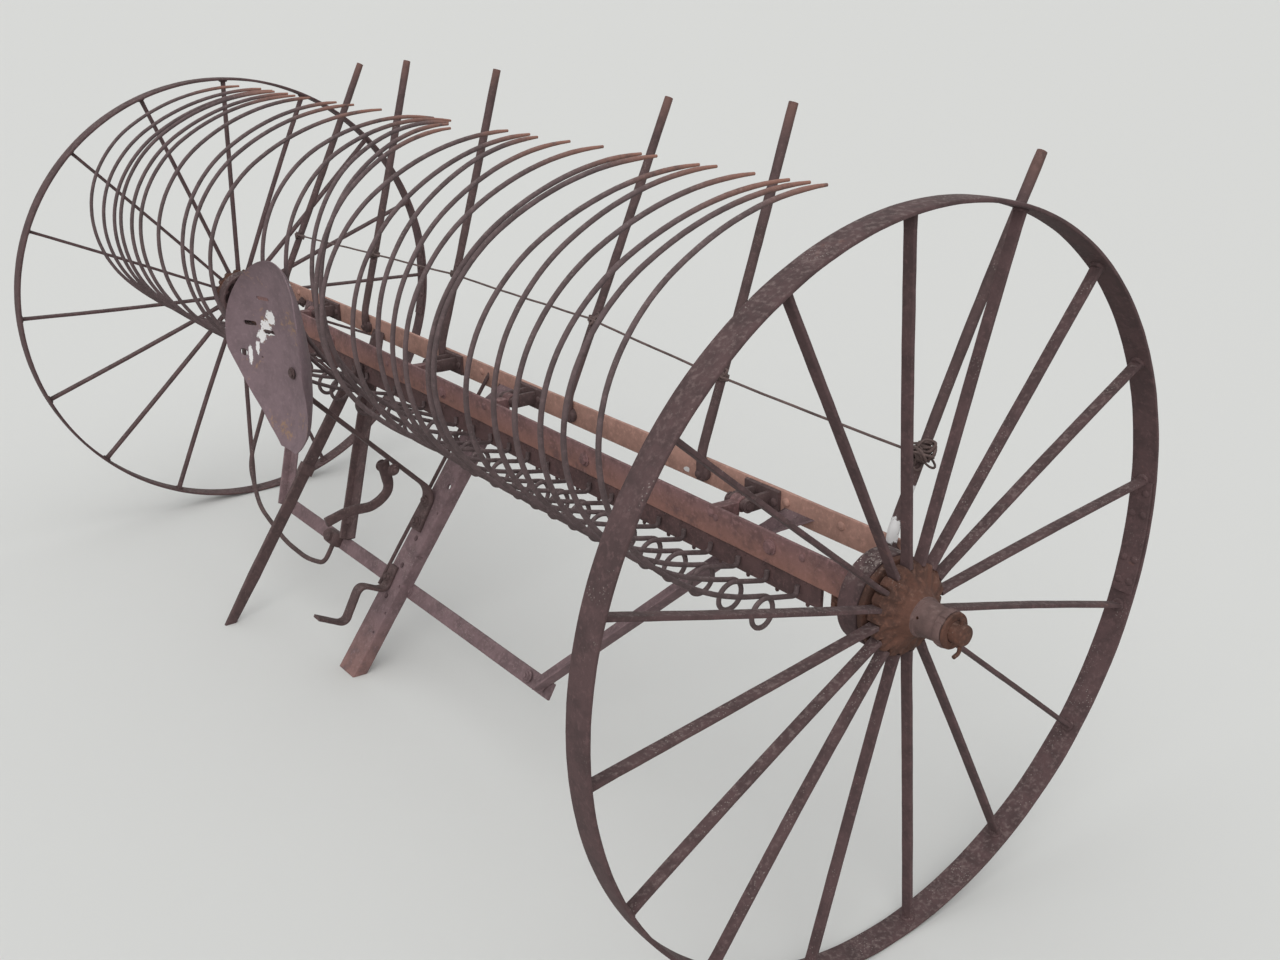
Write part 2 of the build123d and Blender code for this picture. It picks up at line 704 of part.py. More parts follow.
finish(hand_lever.part, "hand_lever")

with BuildPart() as beam_bolts:
    for share in BOLT_PLACES:
        head = (share * BEAM_HALF, BEAM_FACE_Y, BEAM_BOTTOM + BEAM_HEIGHT / 2)
        with BuildSketch(Plane(origin=head, x_dir=(1, 0, 0), z_dir=(0, -1, 0))):
            RegularPolygon(BOLT_HEAD_R, 6)
        extrude(amount=BOLT_HEAD_T)
finish(beam_bolts.part, "beam_bolts")

# Wheels and their spindles

WHEELS = (("near", 1, NEAR_PHASE), ("far", -1, FAR_PHASE))
rim_in_r = WHEEL_R - RIM_T
inner_flange_x = TRACK_HALF - FLANGE_IN
disc_start_x = TRACK_HALF - SPOKE_IN - DISC_T / 2
drum_end_x = inner_flange_x - FLANGE_T / 2
drum_start_x = drum_end_x - DRUM_LENGTH
nose_start_x = TRACK_HALF + NOSE_OUT
nose_end_x = nose_start_x + NOSE_LENGTH
hub_bore_r = SPINDLE_R + RUNNING_GAP


def spoke_plane(side, angle):
    """Plane across a spoke's foot, looking along the spoke from the hub's disc to the rim."""
    out = Vector(0, sin(radians(angle)), cos(radians(angle)))
    foot = Vector(side * (TRACK_HALF - SPOKE_IN), 0, AXLE_Z) + out * (FLANGE_R + SEAT_GAP)
    head = Vector(side * TRACK_HALF, 0, AXLE_Z) + out * (rim_in_r - 2 * SEAT_GAP)
    wide = Vector(0, cos(radians(angle)), -sin(radians(angle)))
    return Plane(origin=foot, x_dir=wide, z_dir=head - foot), (head - foot).length


for name, side, phase in WHEELS:
    axle = Axis((0, 0, AXLE_Z), (1, 0, 0))
    profile = Plane(origin=(0, 0, AXLE_Z), x_dir=(side, 0, 0), z_dir=(0, -side, 0))

    with BuildPart() as rim:
        with BuildSketch(profile):
            with Locations((TRACK_HALF, rim_in_r)):
                Rectangle(RIM_WIDTH, RIM_T, align=(Align.CENTER, Align.MIN))
        revolve(axis=axle)
    finish(rim.part, f"rim_{name}")

    with BuildPart() as spokes:
        for index in range(SPOKES):
            foot_plane, length = spoke_plane(side, phase + index * 360 / SPOKES)
            with BuildSketch(foot_plane):
                Rectangle(SPOKE_T, SPOKE_W)
            extrude(amount=length)
    finish(spokes.part, f"spokes_{name}")

    with BuildPart() as hub:
        with BuildSketch(profile):
            with BuildLine():
                Polyline(
                    (drum_end_x, hub_bore_r),
                    (drum_end_x, FLANGE_R),
                    (drum_end_x + FLANGE_T, FLANGE_R),
                    (drum_end_x + FLANGE_T, BARREL_R),
                    (disc_start_x, BARREL_R),
                    (disc_start_x, FLANGE_R),
                    (disc_start_x + DISC_T, FLANGE_R),
                    (nose_start_x, BARREL_R),
                    (nose_start_x + NOSE_SHOULDER, NOSE_R),
                    (nose_end_x, NOSE_END_R),
                    (nose_end_x, hub_bore_r),
                    close=True,
                )
            make_face()
        revolve(axis=axle)
    finish(hub.part, f"hub_{name}")

    with BuildPart() as drum:
        with BuildSketch(profile):
            with BuildLine():
                Polyline(
                    (drum_start_x, DRUM_R),
                    (drum_end_x, DRUM_R),
                    (drum_end_x, hub_bore_r),
                    (drum_end_x - DRUM_WALL, hub_bore_r),
                    (drum_end_x - DRUM_WALL, DRUM_R - DRUM_WALL),
                    (drum_start_x, DRUM_R - DRUM_WALL),
                    close=True,
                )
            make_face()
        revolve(axis=axle)
        for index in range(RATCHET_TEETH):
            angle = phase + index * 360 / RATCHET_TEETH
            out = Vector(0, sin(radians(angle)), cos(radians(angle)))
            round_way = Vector(0, cos(radians(angle)), -sin(radians(angle)))
            seat = Vector(side * drum_start_x, 0, AXLE_Z)
            with BuildSketch(Plane(origin=seat, x_dir=round_way, z_dir=(side, 0, 0))):
                tooth_foot = DRUM_R - DRUM_WALL + RATCHET_SINK
                with BuildLine():
                    Polyline(
                        (0, side * tooth_foot),
                        (RATCHET_W, side * tooth_foot * cos(asin(RATCHET_W / tooth_foot))),
                        (0, side * (tooth_foot - RATCHET_DEPTH)),
                        close=True,
                    )
                make_face()
            extrude(amount=DRUM_LENGTH - DRUM_WALL / 2)
    finish(drum.part, f"drum_{name}")

    with BuildPart() as spindle:
        collar_end = BEAM_HALF + SPINDLE_COLLAR_T
        washer_x = nose_end_x + RUNNING_GAP
        with BuildSketch(profile):
            with BuildLine():
                Polyline(
                    (BEAM_HALF, 0),
                    (BEAM_HALF, SPINDLE_COLLAR_R),
                    (collar_end, SPINDLE_COLLAR_R),
                    (collar_end, SPINDLE_R + SPINDLE_SHOULDER),
                    (drum_end_x - DRUM_WALL - SPINDLE_PLAY, SPINDLE_R + SPINDLE_SHOULDER),
                    (drum_end_x - DRUM_WALL - SPINDLE_PLAY, SPINDLE_R),
                    (washer_x + WASHER_T + SPINDLE_TAIL, SPINDLE_R),
                    (washer_x + WASHER_T + SPINDLE_TAIL, 0),
                    close=True,
                )
            make_face()
        revolve(axis=axle)
        with BuildSketch(Plane.YZ.offset(side * BEAM_HALF)):
            with Locations((0, BEAM_BOTTOM)):
                Rectangle(BLOCK_W, BLOCK_HEIGHT, align=(Align.CENTER, Align.MAX))
        extrude(amount=-side * BLOCK_LENGTH)
        pin_x = washer_x + WASHER_T + SPINDLE_TAIL / 2
        with Locations(Plane(origin=(side * pin_x, 0, AXLE_Z), z_dir=(0, 0, 1))):
            Hole(LINCH_R + RUNNING_GAP)
    finish(spindle.part, f"spindle_{name}")

    with BuildPart() as linch_pin:
        with BuildSketch(profile):
            with Locations((washer_x, SPINDLE_R + RUNNING_GAP)):
                Rectangle(WASHER_T, WASHER_R - SPINDLE_R - RUNNING_GAP, align=(Align.MIN, Align.MIN))
        revolve(axis=axle)
        pin_low = AXLE_Z - LINCH_LENGTH / 2 - LINCH_LOW
        with BuildSketch(Plane(origin=(side * pin_x, 0, pin_low), z_dir=(0, 0, 1))):
            Circle(LINCH_R)
        extrude(amount=LINCH_LENGTH)
    finish(linch_pin.part, f"linch_pin_{name}")
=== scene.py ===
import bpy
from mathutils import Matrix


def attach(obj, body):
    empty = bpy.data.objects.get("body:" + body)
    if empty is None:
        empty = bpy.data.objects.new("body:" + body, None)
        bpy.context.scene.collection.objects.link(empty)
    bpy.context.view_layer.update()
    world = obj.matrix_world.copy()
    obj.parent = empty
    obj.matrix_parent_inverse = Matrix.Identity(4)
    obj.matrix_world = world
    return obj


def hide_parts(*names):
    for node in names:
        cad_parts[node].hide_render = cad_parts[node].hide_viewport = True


bl_info = {
    "name": "Horse-drawn hay rake",
    "version": (1, 0, 0),
    "blender": (4, 5, 0),
    "location": "View3D > Sidebar > Hay Rake",
    "description": "Builds a rusty horse-drawn hay rake around its packed frame",
    "category": "Object",
}

import math
import random

import bmesh
import bpy
from mathutils import Matrix, Vector, noise

# Noise vectors start from the clock unless a seed is set
noise.seed_set(1)

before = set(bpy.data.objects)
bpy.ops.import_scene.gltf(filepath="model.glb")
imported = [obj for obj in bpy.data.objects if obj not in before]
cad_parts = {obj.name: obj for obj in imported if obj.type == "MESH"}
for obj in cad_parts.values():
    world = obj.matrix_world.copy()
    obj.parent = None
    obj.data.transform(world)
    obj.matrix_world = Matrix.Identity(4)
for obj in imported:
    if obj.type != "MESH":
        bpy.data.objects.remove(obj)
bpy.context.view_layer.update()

TAU = math.tau
WIDE = Vector((1, 0, 0))
BACK = Vector((0, 1, 0))
AHEAD = Vector((0, -1, 0))
UP = Vector((0, 0, 1))
AXLE = Vector((0, 0, 0.7))

# The frame's sloping plane: its upper end, the way down it and the way off it
FRAME_SLOPE = math.radians(30.4)
FRAME_TOP = Vector((0, 0.1, 0.7))
ALONG = Vector((0, -math.sin(FRAME_SLOPE), -math.cos(FRAME_SLOPE)))
OUTWARD = Vector((0, -math.cos(FRAME_SLOPE), math.sin(FRAME_SLOPE)))

# Planes that cut the ends of bars: a point and the way that the plane faces
REAR_FACE = (Vector((0, 0.112, 0)), BACK)
GROUND = (Vector((0, 0, 0.0005)), UP)

# Bars bolted to the rear angle start this far up the slope, to be cut by REAR_FACE, and are cut off
# level at this height
ABOVE_TOP = -0.06
BAR_TOP_Z = 0.722

# Radii of a hub's bore and of the spindle in it
BORE = 0.0204
SPINDLE = 0.0187

# Places that pieces share: the beam's foot and front face, the hinge line, the hooks of the teeth,
# the cross strap's distance down the slope and the casting's place on it
BEAM_FOOT_Z = 0.684
BEAM_FACE_Y = -0.0302
HINGE_Y, HINGE_Z = 0.045, 0.73
HOOK_Y, HOOK_Z = -0.0293, 0.644
STRAP_DOWN = 0.563
LATCH_X = -0.44

# Edges sharper than this stay crisp, in degrees
SHARP = 38.0

# Slots of the tooth holder, some of them empty, and slot number: swing, lean and pitch of each
# tooth in degrees
TOOTH_SLOTS = 31
NEAR_TEETH = {
    0: (3, 0, 0),
    1: (-1, 3, 0),
    2: (-1, 5.5, 0),
    3: (0, 5, 0),
    4: (3, 3.5, 0),
    5: (0, 6, 0),
    6: (-1, 2.6, 0),
    7: (4, 5, 0),
    8: (6, 2, 0),
    9: (11, 0, 0),
    10: (15, -2, 0),
    11: (10, 0.7, 0),
    12: (4.5, 0, 0),
    13: (18.5, -8, 0),
    14: (23, -6, 3),
    15: (22, -6, 8),
}
FAR_TEETH = {
    16: (13, -5, 9.5),
    17: (9, -6, 9),
    19: (1, -2, 0),
    21: (5, -1, 0),
    22: (8, -2, 0),
    24: (7, -2.2, 0),
    25: (2, -4.2, 0),
    26: (1, -2, 0),
    27: (0.5, -3, 0),
    28: (-1, 2, 0),
    29: (-3, 2, 0),
    30: (-1, -5, 0),
}

# Bends of a tooth from its straight to its point: radius and degrees
TOOTH_BENDS = ((0.586, 33), (0.282, 74), (0.351, 26), (0.627, 33))

# Cleaner rods: place along the rear angle, lean toward +X and back in degrees, height of the knot
# above the bend
CLEANER_RODS = (
    (1.335, -2.4, 29.4, 0.132),
    (0.802, -1.5, 19.4, 0.159),
    (0.312, -1.5, 25.3, 0.176),
    (-0.288, -3.5, 18.6, 0.183),
    (-0.744, -6.3, 18.5, 0.165),
    (-1.315, -1.5, 27.0, 0.133),
)
ROD_FOOT_Y, ROD_FOOT_Z, ROD_BEND_Z = 0.1007, 0.712, 0.768

# Places of the hinges along the beam
HINGES = (0.985, 0.14, -0.245, -0.985)


def length_of(name, text, default):
    """A size property in metres."""
    return bpy.props.FloatProperty(
        name=name, description=text, default=default, min=0.0001, unit="LENGTH", precision=4
    )


def tint_of(name, text, red, green, blue):
    """A colour property, given as it looks on screen from 0 to 255."""
    linear = [((c / 255 + 0.055) / 1.055) ** 2.4 for c in (red, green, blue)]
    return bpy.props.FloatVectorProperty(
        name=name, description=text, default=linear, size=3, min=0, max=1, subtype="COLOR"
    )


def turn_of(name, text, degrees):
    """An angle property, given in degrees."""
    return bpy.props.FloatProperty(
        name=name, description=text, default=math.radians(degrees), unit="ROTATION"
    )


class WheelSizes(bpy.types.PropertyGroup):
    """Sizes of the two wheels."""

    radius: length_of("Tyre radius", "From the axle to the tread", 0.7)
    track_half: length_of("Half track", "From the middle to a tyre's middle", 1.47)
    tyre_width: length_of("Tyre width", "Width of the tyre iron", 0.054)
    tyre_thick: length_of("Tyre thickness", "Thickness of the tyre iron", 0.008)
    spoke_width: length_of("Spoke width", "Width of a flat spoke", 0.022)
    spoke_thick: length_of("Spoke thickness", "Thickness of a flat spoke", 0.008)
    flange_radius: length_of("Flange radius", "Radius of the hub's disc and flange", 0.086)
    barrel_radius: length_of("Barrel radius", "Radius between the flanges", 0.046)
    near_phase: turn_of("Near turn", "Turn of the near wheel", -6)
    far_phase: turn_of("Far turn", "Turn of the far wheel", 2)
    spokes: bpy.props.IntProperty(name="Spokes", description="Spokes in a wheel", default=16, min=6)


class ToothSizes(bpy.types.PropertyGroup):
    """Sizes of the spring teeth."""

    wire: length_of("Wire radius", "Radius of the tooth wire", 0.005)
    arm: length_of("Arm", "From the hook to the coil", 0.068)
    coil: length_of("Coil radius", "Radius of the spring coil", 0.03)
    shift: length_of("Coil shift", "Sideways step of the coil", 0.011)
    straight: length_of("Straight", "From the coil to the first bend", 0.027)
    pitch: length_of("Pitch", "From one slot to the next", 0.082)
    first: length_of("First hook", "Place of the first hook", 1.23)
    point: length_of("Point", "Length of the worn point", 0.2)


class HeadSizes(bpy.types.PropertyGroup):
    """Sizes of the beam and the tooth holder."""

    beam_half: length_of("Beam half", "Half the beam's length", 1.378)
    beam_height: length_of("Beam height", "Height of the beam's face", 0.064)
    beam_depth: length_of("Beam depth", "Depth of the beam's flange", 0.06)
    holder_half: length_of("Holder half", "Half the tooth holder's length", 1.285)
    holder_height: length_of("Holder height", "Height of the holder's face", 0.052)
    holder_depth: length_of("Holder depth", "Depth of the holder's flange", 0.05)
    iron: length_of("Iron thickness", "Thickness of the angle irons", 0.008)


class FrameSizes(bpy.types.PropertyGroup):
    """Sizes of the frame."""

    rear_half: length_of("Rear half", "Half the rear angle's length", 1.352)
    rear_height: length_of("Rear height", "Height of the rear angle's face", 0.058)
    rear_depth: length_of("Rear depth", "Depth of the rear angle's flange", 0.045)
    rod: length_of("Rod radius", "Radius of a cleaner rod", 0.011)
    rod_rise: length_of("Rod length", "Length of a cleaner rod", 0.8)
    leg_width: length_of("Leg width", "Width of the near leg", 0.08)
    leg_depth: length_of("Leg depth", "Depth of the near leg's sides", 0.034)
    strap_width: length_of("Strap width", "Width of the cross strap", 0.04)
    wire: length_of("Wire radius", "Radius of the tie wire", 0.0028)


class SeatSizes(bpy.types.PropertyGroup):
    """Sizes of the seat."""

    half_width: length_of("Half width", "Half the pan's width", 0.212)
    top: length_of("Top", "From the middle to the top edge", 0.225)
    bottom: length_of("Bottom", "From the middle to the bottom edge", 0.222)
    foot: length_of("Foot", "Half the width of the straight bottom edge", 0.04)
    sheet: length_of("Sheet", "Thickness of the pressed sheet", 0.003)
    bar_width: length_of("Bar width", "Width of the spring bar", 0.045)
    bar_thick: length_of("Bar thickness", "Thickness of the spring bar", 0.01)


class RustTints(bpy.types.PropertyGroup):
    """Colours of the rusty iron."""

    wheel: tint_of("Wheel", "Wheel iron", 86, 65, 65)
    tooth: tint_of("Tooth", "Tooth steel", 96, 80, 80)
    beam: tint_of("Beam", "Beam iron", 122, 91, 90)
    holder: tint_of("Holder", "Tooth holder", 92, 68, 67)
    rear: tint_of("Rear angle", "Pale orange rusty iron", 176, 136, 122)
    hub: tint_of("Hub", "Cast hub", 94, 62, 50)
    nose: tint_of("Nose", "Nose of the hub", 108, 86, 82)
    legs: tint_of("Legs", "Iron of the legs", 118, 96, 98)
    bars: tint_of("Bars", "Dark bars and rods", 86, 67, 66)
    seat: tint_of("Seat", "Pressed seat", 122, 103, 107)
    wire: tint_of("Wire", "Tie wire", 104, 86, 82)
    orange: tint_of("Orange", "Fresh orange rust", 148, 104, 88)
    ochre: tint_of("Ochre", "Ochre stains", 150, 118, 84)
    lichen: tint_of("Lichen", "Lichen and dust", 172, 164, 156)
    white: tint_of("White", "White streaks", 226, 224, 222)
    floor: tint_of("Floor", "Floor and backdrop", 214, 214, 210)


# Shape making


class Form:
    """Points and faces of a piece while it is made, with a wear value for each point."""

    def __init__(self):
        self.points = []
        self.faces = []
        self.wear = []

    def ring(self, places, wear=0.0):
        """Add a ring of points."""
        first = len(self.points)
        self.points.extend(Vector(place) for place in places)
        self.wear.extend([wear] * len(places))
        return list(range(first, len(self.points)))

    def skin(self, rings, loop=False, caps=True):
        """Join rings of equal length with quads."""
        pairs = list(zip(rings, rings[1:]))
        if loop:
            pairs.append((rings[-1], rings[0]))
        for one, other in pairs:
            for here in range(len(one)):
                before = here - 1
                self.faces.append((one[before], one[here], other[here], other[before]))
        if caps and not loop:
            self.faces.append(tuple(rings[0]))
            self.faces.append(tuple(rings[-1]))


def eased(start, corner, end, steps):
    """Points of a curve from start to end that rounds off a corner."""
    parts = [step / steps for step in range(steps + 1)]
    return [(1 - t) ** 2 * start + 2 * t * (1 - t) * corner + t * t * end for t in parts]


def oblong(left, low, right, high):
    """Corners of a rectangle."""
    return [(left, low), (right, low), (right, high), (left, high)]


def rounded(corners, ease, steps=3):
    """Closed outline whose corners are rounded."""
    outline = []
    for index, corner in enumerate(corners):
        here = Vector(corner)
        back = Vector(corners[index - 1]) - here
        on = Vector(corners[(index + 1) % len(corners)]) - here
        start = here + back.normalized() * min(ease, back.length / 2.2)
        end = here + on.normalized() * min(ease, on.length / 2.2)
        outline.extend(eased(start, here, end, steps))
    return outline


def flat(width, thick, ease=0.0016, low=None):
    """Outline of a flat bar. Its middle is on the line, or its lower face at low."""
    low = -thick / 2 if low is None else low
    high = low + thick
    half = width / 2
    corners = [(-half, low), (0, low), (half, low), (half, high), (0, high), (-half, high)]
    return rounded(corners, ease)


def circle(radius, sides=12, turn=0.0):
    """Outline of a round bar."""
    angles = [turn + TAU * side / sides for side in range(sides)]
    return [Vector((radius * math.cos(angle), radius * math.sin(angle))) for angle in angles]


def line_through(points, ease=0.03, step=0.03):
    """Points of a line with eased corners, no further apart than step."""
    points = [Vector(point) for point in points]
    corners = [points[0]]
    for before, corner, after in zip(points, points[1:], points[2:]):
        cut = min(ease, (corner - before).length / 2.05, (after - corner).length / 2.05)
        start = corner + (before - corner).normalized() * cut
        end = corner + (after - corner).normalized() * cut
        corners.extend(eased(start, corner, end, 8))
    corners.append(points[-1])
    line = [corners[0]]
    for one, other in zip(corners, corners[1:]):
        parts = max(1, math.ceil((other - one).length / step))
        line.extend(one.lerp(other, part / parts) for part in range(1, parts + 1))
    return line


def sweep(
    form, line, outline, wide=None, face=None, sizes=None, trims=(None, None), wear=None, loop=False
):
    """Skin an outline along a line. wide or face is the way its first or second axis points."""
    line = [Vector(place) for place in line]
    kept = list(range(len(line)))
    for end, trim in zip((0, len(line) - 1), trims):
        if trim:
            spot, normal = trim
            inside = math.copysign(1, (line[len(line) - 1 - end] - spot).dot(normal))
            kept = [k for k in kept if k == end or (line[k] - spot).dot(normal) * inside > 0.035]
    line = [line[k] for k in kept]
    sizes = [sizes[k] for k in kept] if sizes else [1.0] * len(line)
    wear = [wear[k] for k in kept] if wear else [0.0] * len(line)
    last = len(line) - 1
    across = None
    rings = []
    for index, place in enumerate(line):
        if loop:
            way = (line[(index + 1) % len(line)] - line[index - 1]).normalized()
        else:
            way = (line[min(index + 1, last)] - line[max(index - 1, 0)]).normalized()
        if face is not None:
            across = face.cross(way).normalized()
        elif wide is not None:
            across = (wide - way * wide.dot(way)).normalized()
        elif across is None:
            across = way.orthogonal().normalized()
        else:
            across = (across - way * across.dot(way)).normalized()
        high = way.cross(across)
        size = sizes[index]
        ring = [place + across * (x * size) + high * (y * size) for x, y in outline]
        trim = trims[0] if index == 0 else trims[1] if index == last else None
        if trim:
            spot, normal = trim
            ring = [p + way * ((spot - p).dot(normal) / way.dot(normal)) for p in ring]
        rings.append(form.ring(ring, wear[index]))
    form.skin(rings, loop=loop)


def lathe(form, profile, centre, axis, sides=48, shape=None, loop=False):
    """Turn a profile of (along, radius) about an axis. shape changes a radius by its angle."""
    centre = Vector(centre)
    axis = Vector(axis).normalized()
    one = axis.orthogonal().normalized() if abs(axis.x) < 0.9 else UP.copy()
    other = axis.cross(one)
    rings = []
    for along, radius in profile:
        ring = []
        for side in range(sides):
            angle = TAU * side / sides
            reach = shape(angle, along, radius) if shape else radius
            spoke = one * math.cos(angle) + other * math.sin(angle)
            ring.append(centre + axis * along + spoke * reach)
        rings.append(form.ring(ring))
    form.skin(rings, loop=loop)


def dome(form, centre, way, radius, height, sides=18):
    """A rivet head, sunk a little into what carries it."""
    steps = 5
    profile = [(-0.001, radius)]
    for step in range(steps + 1):
        turn = math.pi / 2 * step / steps
        profile.append((height * math.sin(turn), radius * max(math.cos(turn), 0.06)))
    lathe(form, profile, centre, way, sides)


def bolt(form, centre, way, radius, height, turn=0.0, sides=6, end=0.0):
    """A bolt head or nut on its washer and, if wanted, the bolt's end."""
    centre = Vector(centre)
    way = Vector(way).normalized()
    washer = [(-0.001, radius * 1.3), (0.0016, radius * 1.3), (0.002, radius * 1.25)]
    lathe(form, washer, centre, way, 20)
    one = way.orthogonal().normalized()
    other = way.cross(one)
    rings = []
    for along, size in ((0.0, 1.0), (height * 0.75, 1.0), (height, 0.86)):
        outline = rounded(circle(radius * size, sides, turn), 0.0012, 2)
        rings.append(form.ring([centre + way * along + one * x + other * y for x, y in outline]))
    form.skin(rings)
    if end:
        thin = radius * 0.5
        shank = [(0, thin), (height + end * 0.85, thin), (height + end, radius * 0.4)]
        lathe(form, shank, centre, way, 14)


def slab(form, outline, layers, place):
    """Skin an outline through layers of (height, size). place gives the point of a, b, height."""
    rings = []
    for height, size in layers:
        rings.append(form.ring([place(a * size, b * size, height) for a, b in outline]))
    form.skin(rings)


def waver(place, amount, size):
    """A small smooth shift of a point, the same at every run."""
    return noise.noise_vector(Vector(place) * size) * amount


def wavered(line, amount, size):
    """A line with each point shifted a little."""
    return [place + waver(place, amount, size) for place in line]


def on_frame(x, down, out=0.0):
    """Point of the sloping frame plane: x, distance down the slope, height off it."""
    return FRAME_TOP + ALONG * down + OUTWARD * out + WIDE * x


def tilted(angle):
    """The way up, tilted toward the rear by an angle."""
    return Vector((0, math.sin(angle), math.cos(angle)))


def wheel_point(side, angle, x, radius):
    """Point of a wheel by its angle from the top toward the rear."""
    return Vector((side * x, radius * math.sin(angle), AXLE.z + radius * math.cos(angle)))


def inside_out(part):
    """Whether a closed part's faces look inward, by the sign of its volume."""
    volume = 0.0
    for face in part:
        first, *rest = [corner.co for corner in face.verts]
        volume += sum(first.dot(one.cross(two)) for one, two in zip(rest, rest[1:]))
    return volume < 0


def closed_mesh(name, points, faces):
    """A mesh whose faces all look outward."""
    mesh = bpy.data.meshes.new(name)
    mesh.from_pydata(points, [], faces)
    build = bmesh.new()
    build.from_mesh(mesh)
    bmesh.ops.recalc_face_normals(build, faces=build.faces)
    left = set(build.faces)
    while left:
        part = [left.pop()]
        for face in part:
            beside = {other for edge in face.edges for other in edge.link_faces} & left
            part.extend(beside)
            left -= beside
        if inside_out(part):
            bmesh.ops.reverse_faces(build, faces=part)
    build.to_mesh(mesh)
    build.free()
    return mesh


def show(name, data):
    """Put a mesh, a lamp or a camera in the scene."""
    added = bpy.data.objects.new(name, data)
    bpy.context.scene.collection.objects.link(added)
    return added


def settle(form, name, body, slot, node, roughen=0.0003, grain=45.0, sharp=SHARP, look=None):
    """Make the mesh piece of a form, hang it on its body and hide the packed part that it replaces.
    """
    mesh = closed_mesh(name, wavered(form.points, roughen, grain), form.faces)
    worn = mesh.attributes.new("wear", "FLOAT", "POINT")
    worn.data.foreach_set("value", form.wear)
    mesh.shade_smooth()
    mesh.set_sharp_from_angle(angle=math.radians(sharp))
    mesh.materials.append(iron(look or slot))
    piece = show(name, mesh)
    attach(piece, body)
    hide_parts(node)
    return piece


def without_loose_corners(mesh):
    """Take out the corners that a cut leaves along an edge, where slivers would form."""
    build = bmesh.new()
    build.from_mesh(mesh)
    loose = [corner for corner in build.verts if len(corner.link_edges) == 2]
    bmesh.ops.dissolve_verts(build, verts=loose)
    build.to_mesh(mesh)
    build.free()


def carve(piece, form):
    """Cut a form's solids out of a piece."""
    cutter = show("cut", closed_mesh("cut", form.points, form.faces))
    change = piece.modifiers.new("cut", "BOOLEAN")
    change.operation = "DIFFERENCE"
    change.solver = "EXACT"
    change.object = cutter
    graph = bpy.context.evaluated_depsgraph_get()
    result = bpy.data.meshes.new_from_object(piece.evaluated_get(graph))
    piece.modifiers.clear()
    piece.data = result
    without_loose_corners(result)
    result.set_sharp_from_angle(angle=math.radians(SHARP))
    bpy.data.objects.remove(cutter)


# Finishes


class Shade:
    """A socket of a material's node tree. Sums on it add Math nodes."""

    def __init__(self, tree, socket=None):
        self.tree = tree
        self.socket = socket

    def node(self, kind, settings, inputs, out=0):
        """Add a node, set its settings, then fill or link its sockets."""
        added = self.tree.nodes.new(kind)
        for name, value in settings.items():
            setattr(added, name, value)
        for name, value in inputs.items():
            if isinstance(value, Shade):
                self.tree.links.new(value.socket, added.inputs[name])
            else:
                added.inputs[name].default_value = value
        return Shade(self.tree, added.outputs[out])

    def sum(self, operation, one, other):
        return self.node("ShaderNodeMath", {"operation": operation}, {0: one, 1: other})

    def __add__(self, other):
        return self.sum("ADD", self, other)

    def __radd__(self, other):
        return self.sum("ADD", other, self)

    def __sub__(self, other):
        return self.sum("SUBTRACT", self, other)

    def __rsub__(self, other):
        return self.sum("SUBTRACT", other, self)

    def __mul__(self, other):
        return self.sum("MULTIPLY", self, other)

    def __rmul__(self, other):
        return self.sum("MULTIPLY", other, self)

    def most(self, other):
        return self.sum("MAXIMUM", self, other)

    def rise(self, low, high):
        """0 below low, 1 above high and smooth between."""
        return self.node(
            "ShaderNodeMapRange",
            {"interpolation_type": "SMOOTHSTEP"},
            {"Value": self, "From Min": low, "From Max": high},
        )

    def mix(self, one, other):
        """Two colours mixed by this value."""
        settings = {"data_type": "RGBA"}
        return self.node("ShaderNodeMix", settings, {0: self, 6: one, 7: other}, 2)


# How each finish differs: tint, how dark and how light it goes, shares of orange rust, of ochre and
# of lichen, depth of the bump
LOOKS = {
    "wheel_iron": ("wheel", 0.66, 1.4, 0.08, 0.03, 0.36, 0.5),
    "tooth_steel": ("tooth", 0.7, 1.4, 0.06, 0.02, 0.25, 0.35),
    "beam_rust": ("beam", 0.62, 1.45, 0.0, 0.04, 0.25, 0.7),
    "holder_iron": ("holder", 0.66, 1.35, 0.08, 0.03, 0.2, 0.5),
    "orange_rust": ("rear", 0.76, 1.25, 0.18, 0.2, 0.25, 0.5),
    "hub_rust": ("hub", 0.5, 1.5, 0.12, 0.2, 0.25, 1.0),
    "drum_iron": ("wheel", 0.6, 1.4, 0.05, 0.03, 0.95, 0.9),
    "nose_iron": ("nose", 0.7, 1.3, 0.12, 0.1, 0.15, 0.6),
    "frame_rust": ("legs", 0.68, 1.3, 0.16, 0.05, 0.3, 0.55),
    "bar_iron": ("bars", 0.68, 1.35, 0.1, 0.03, 0.25, 0.5),
    "seat_rust": ("seat", 0.8, 1.2, 0.04, 0.5, 0.12, 0.4),
    "wire": ("wire", 0.6, 1.3, 0.1, 0.05, 0.1, 0.3),
}

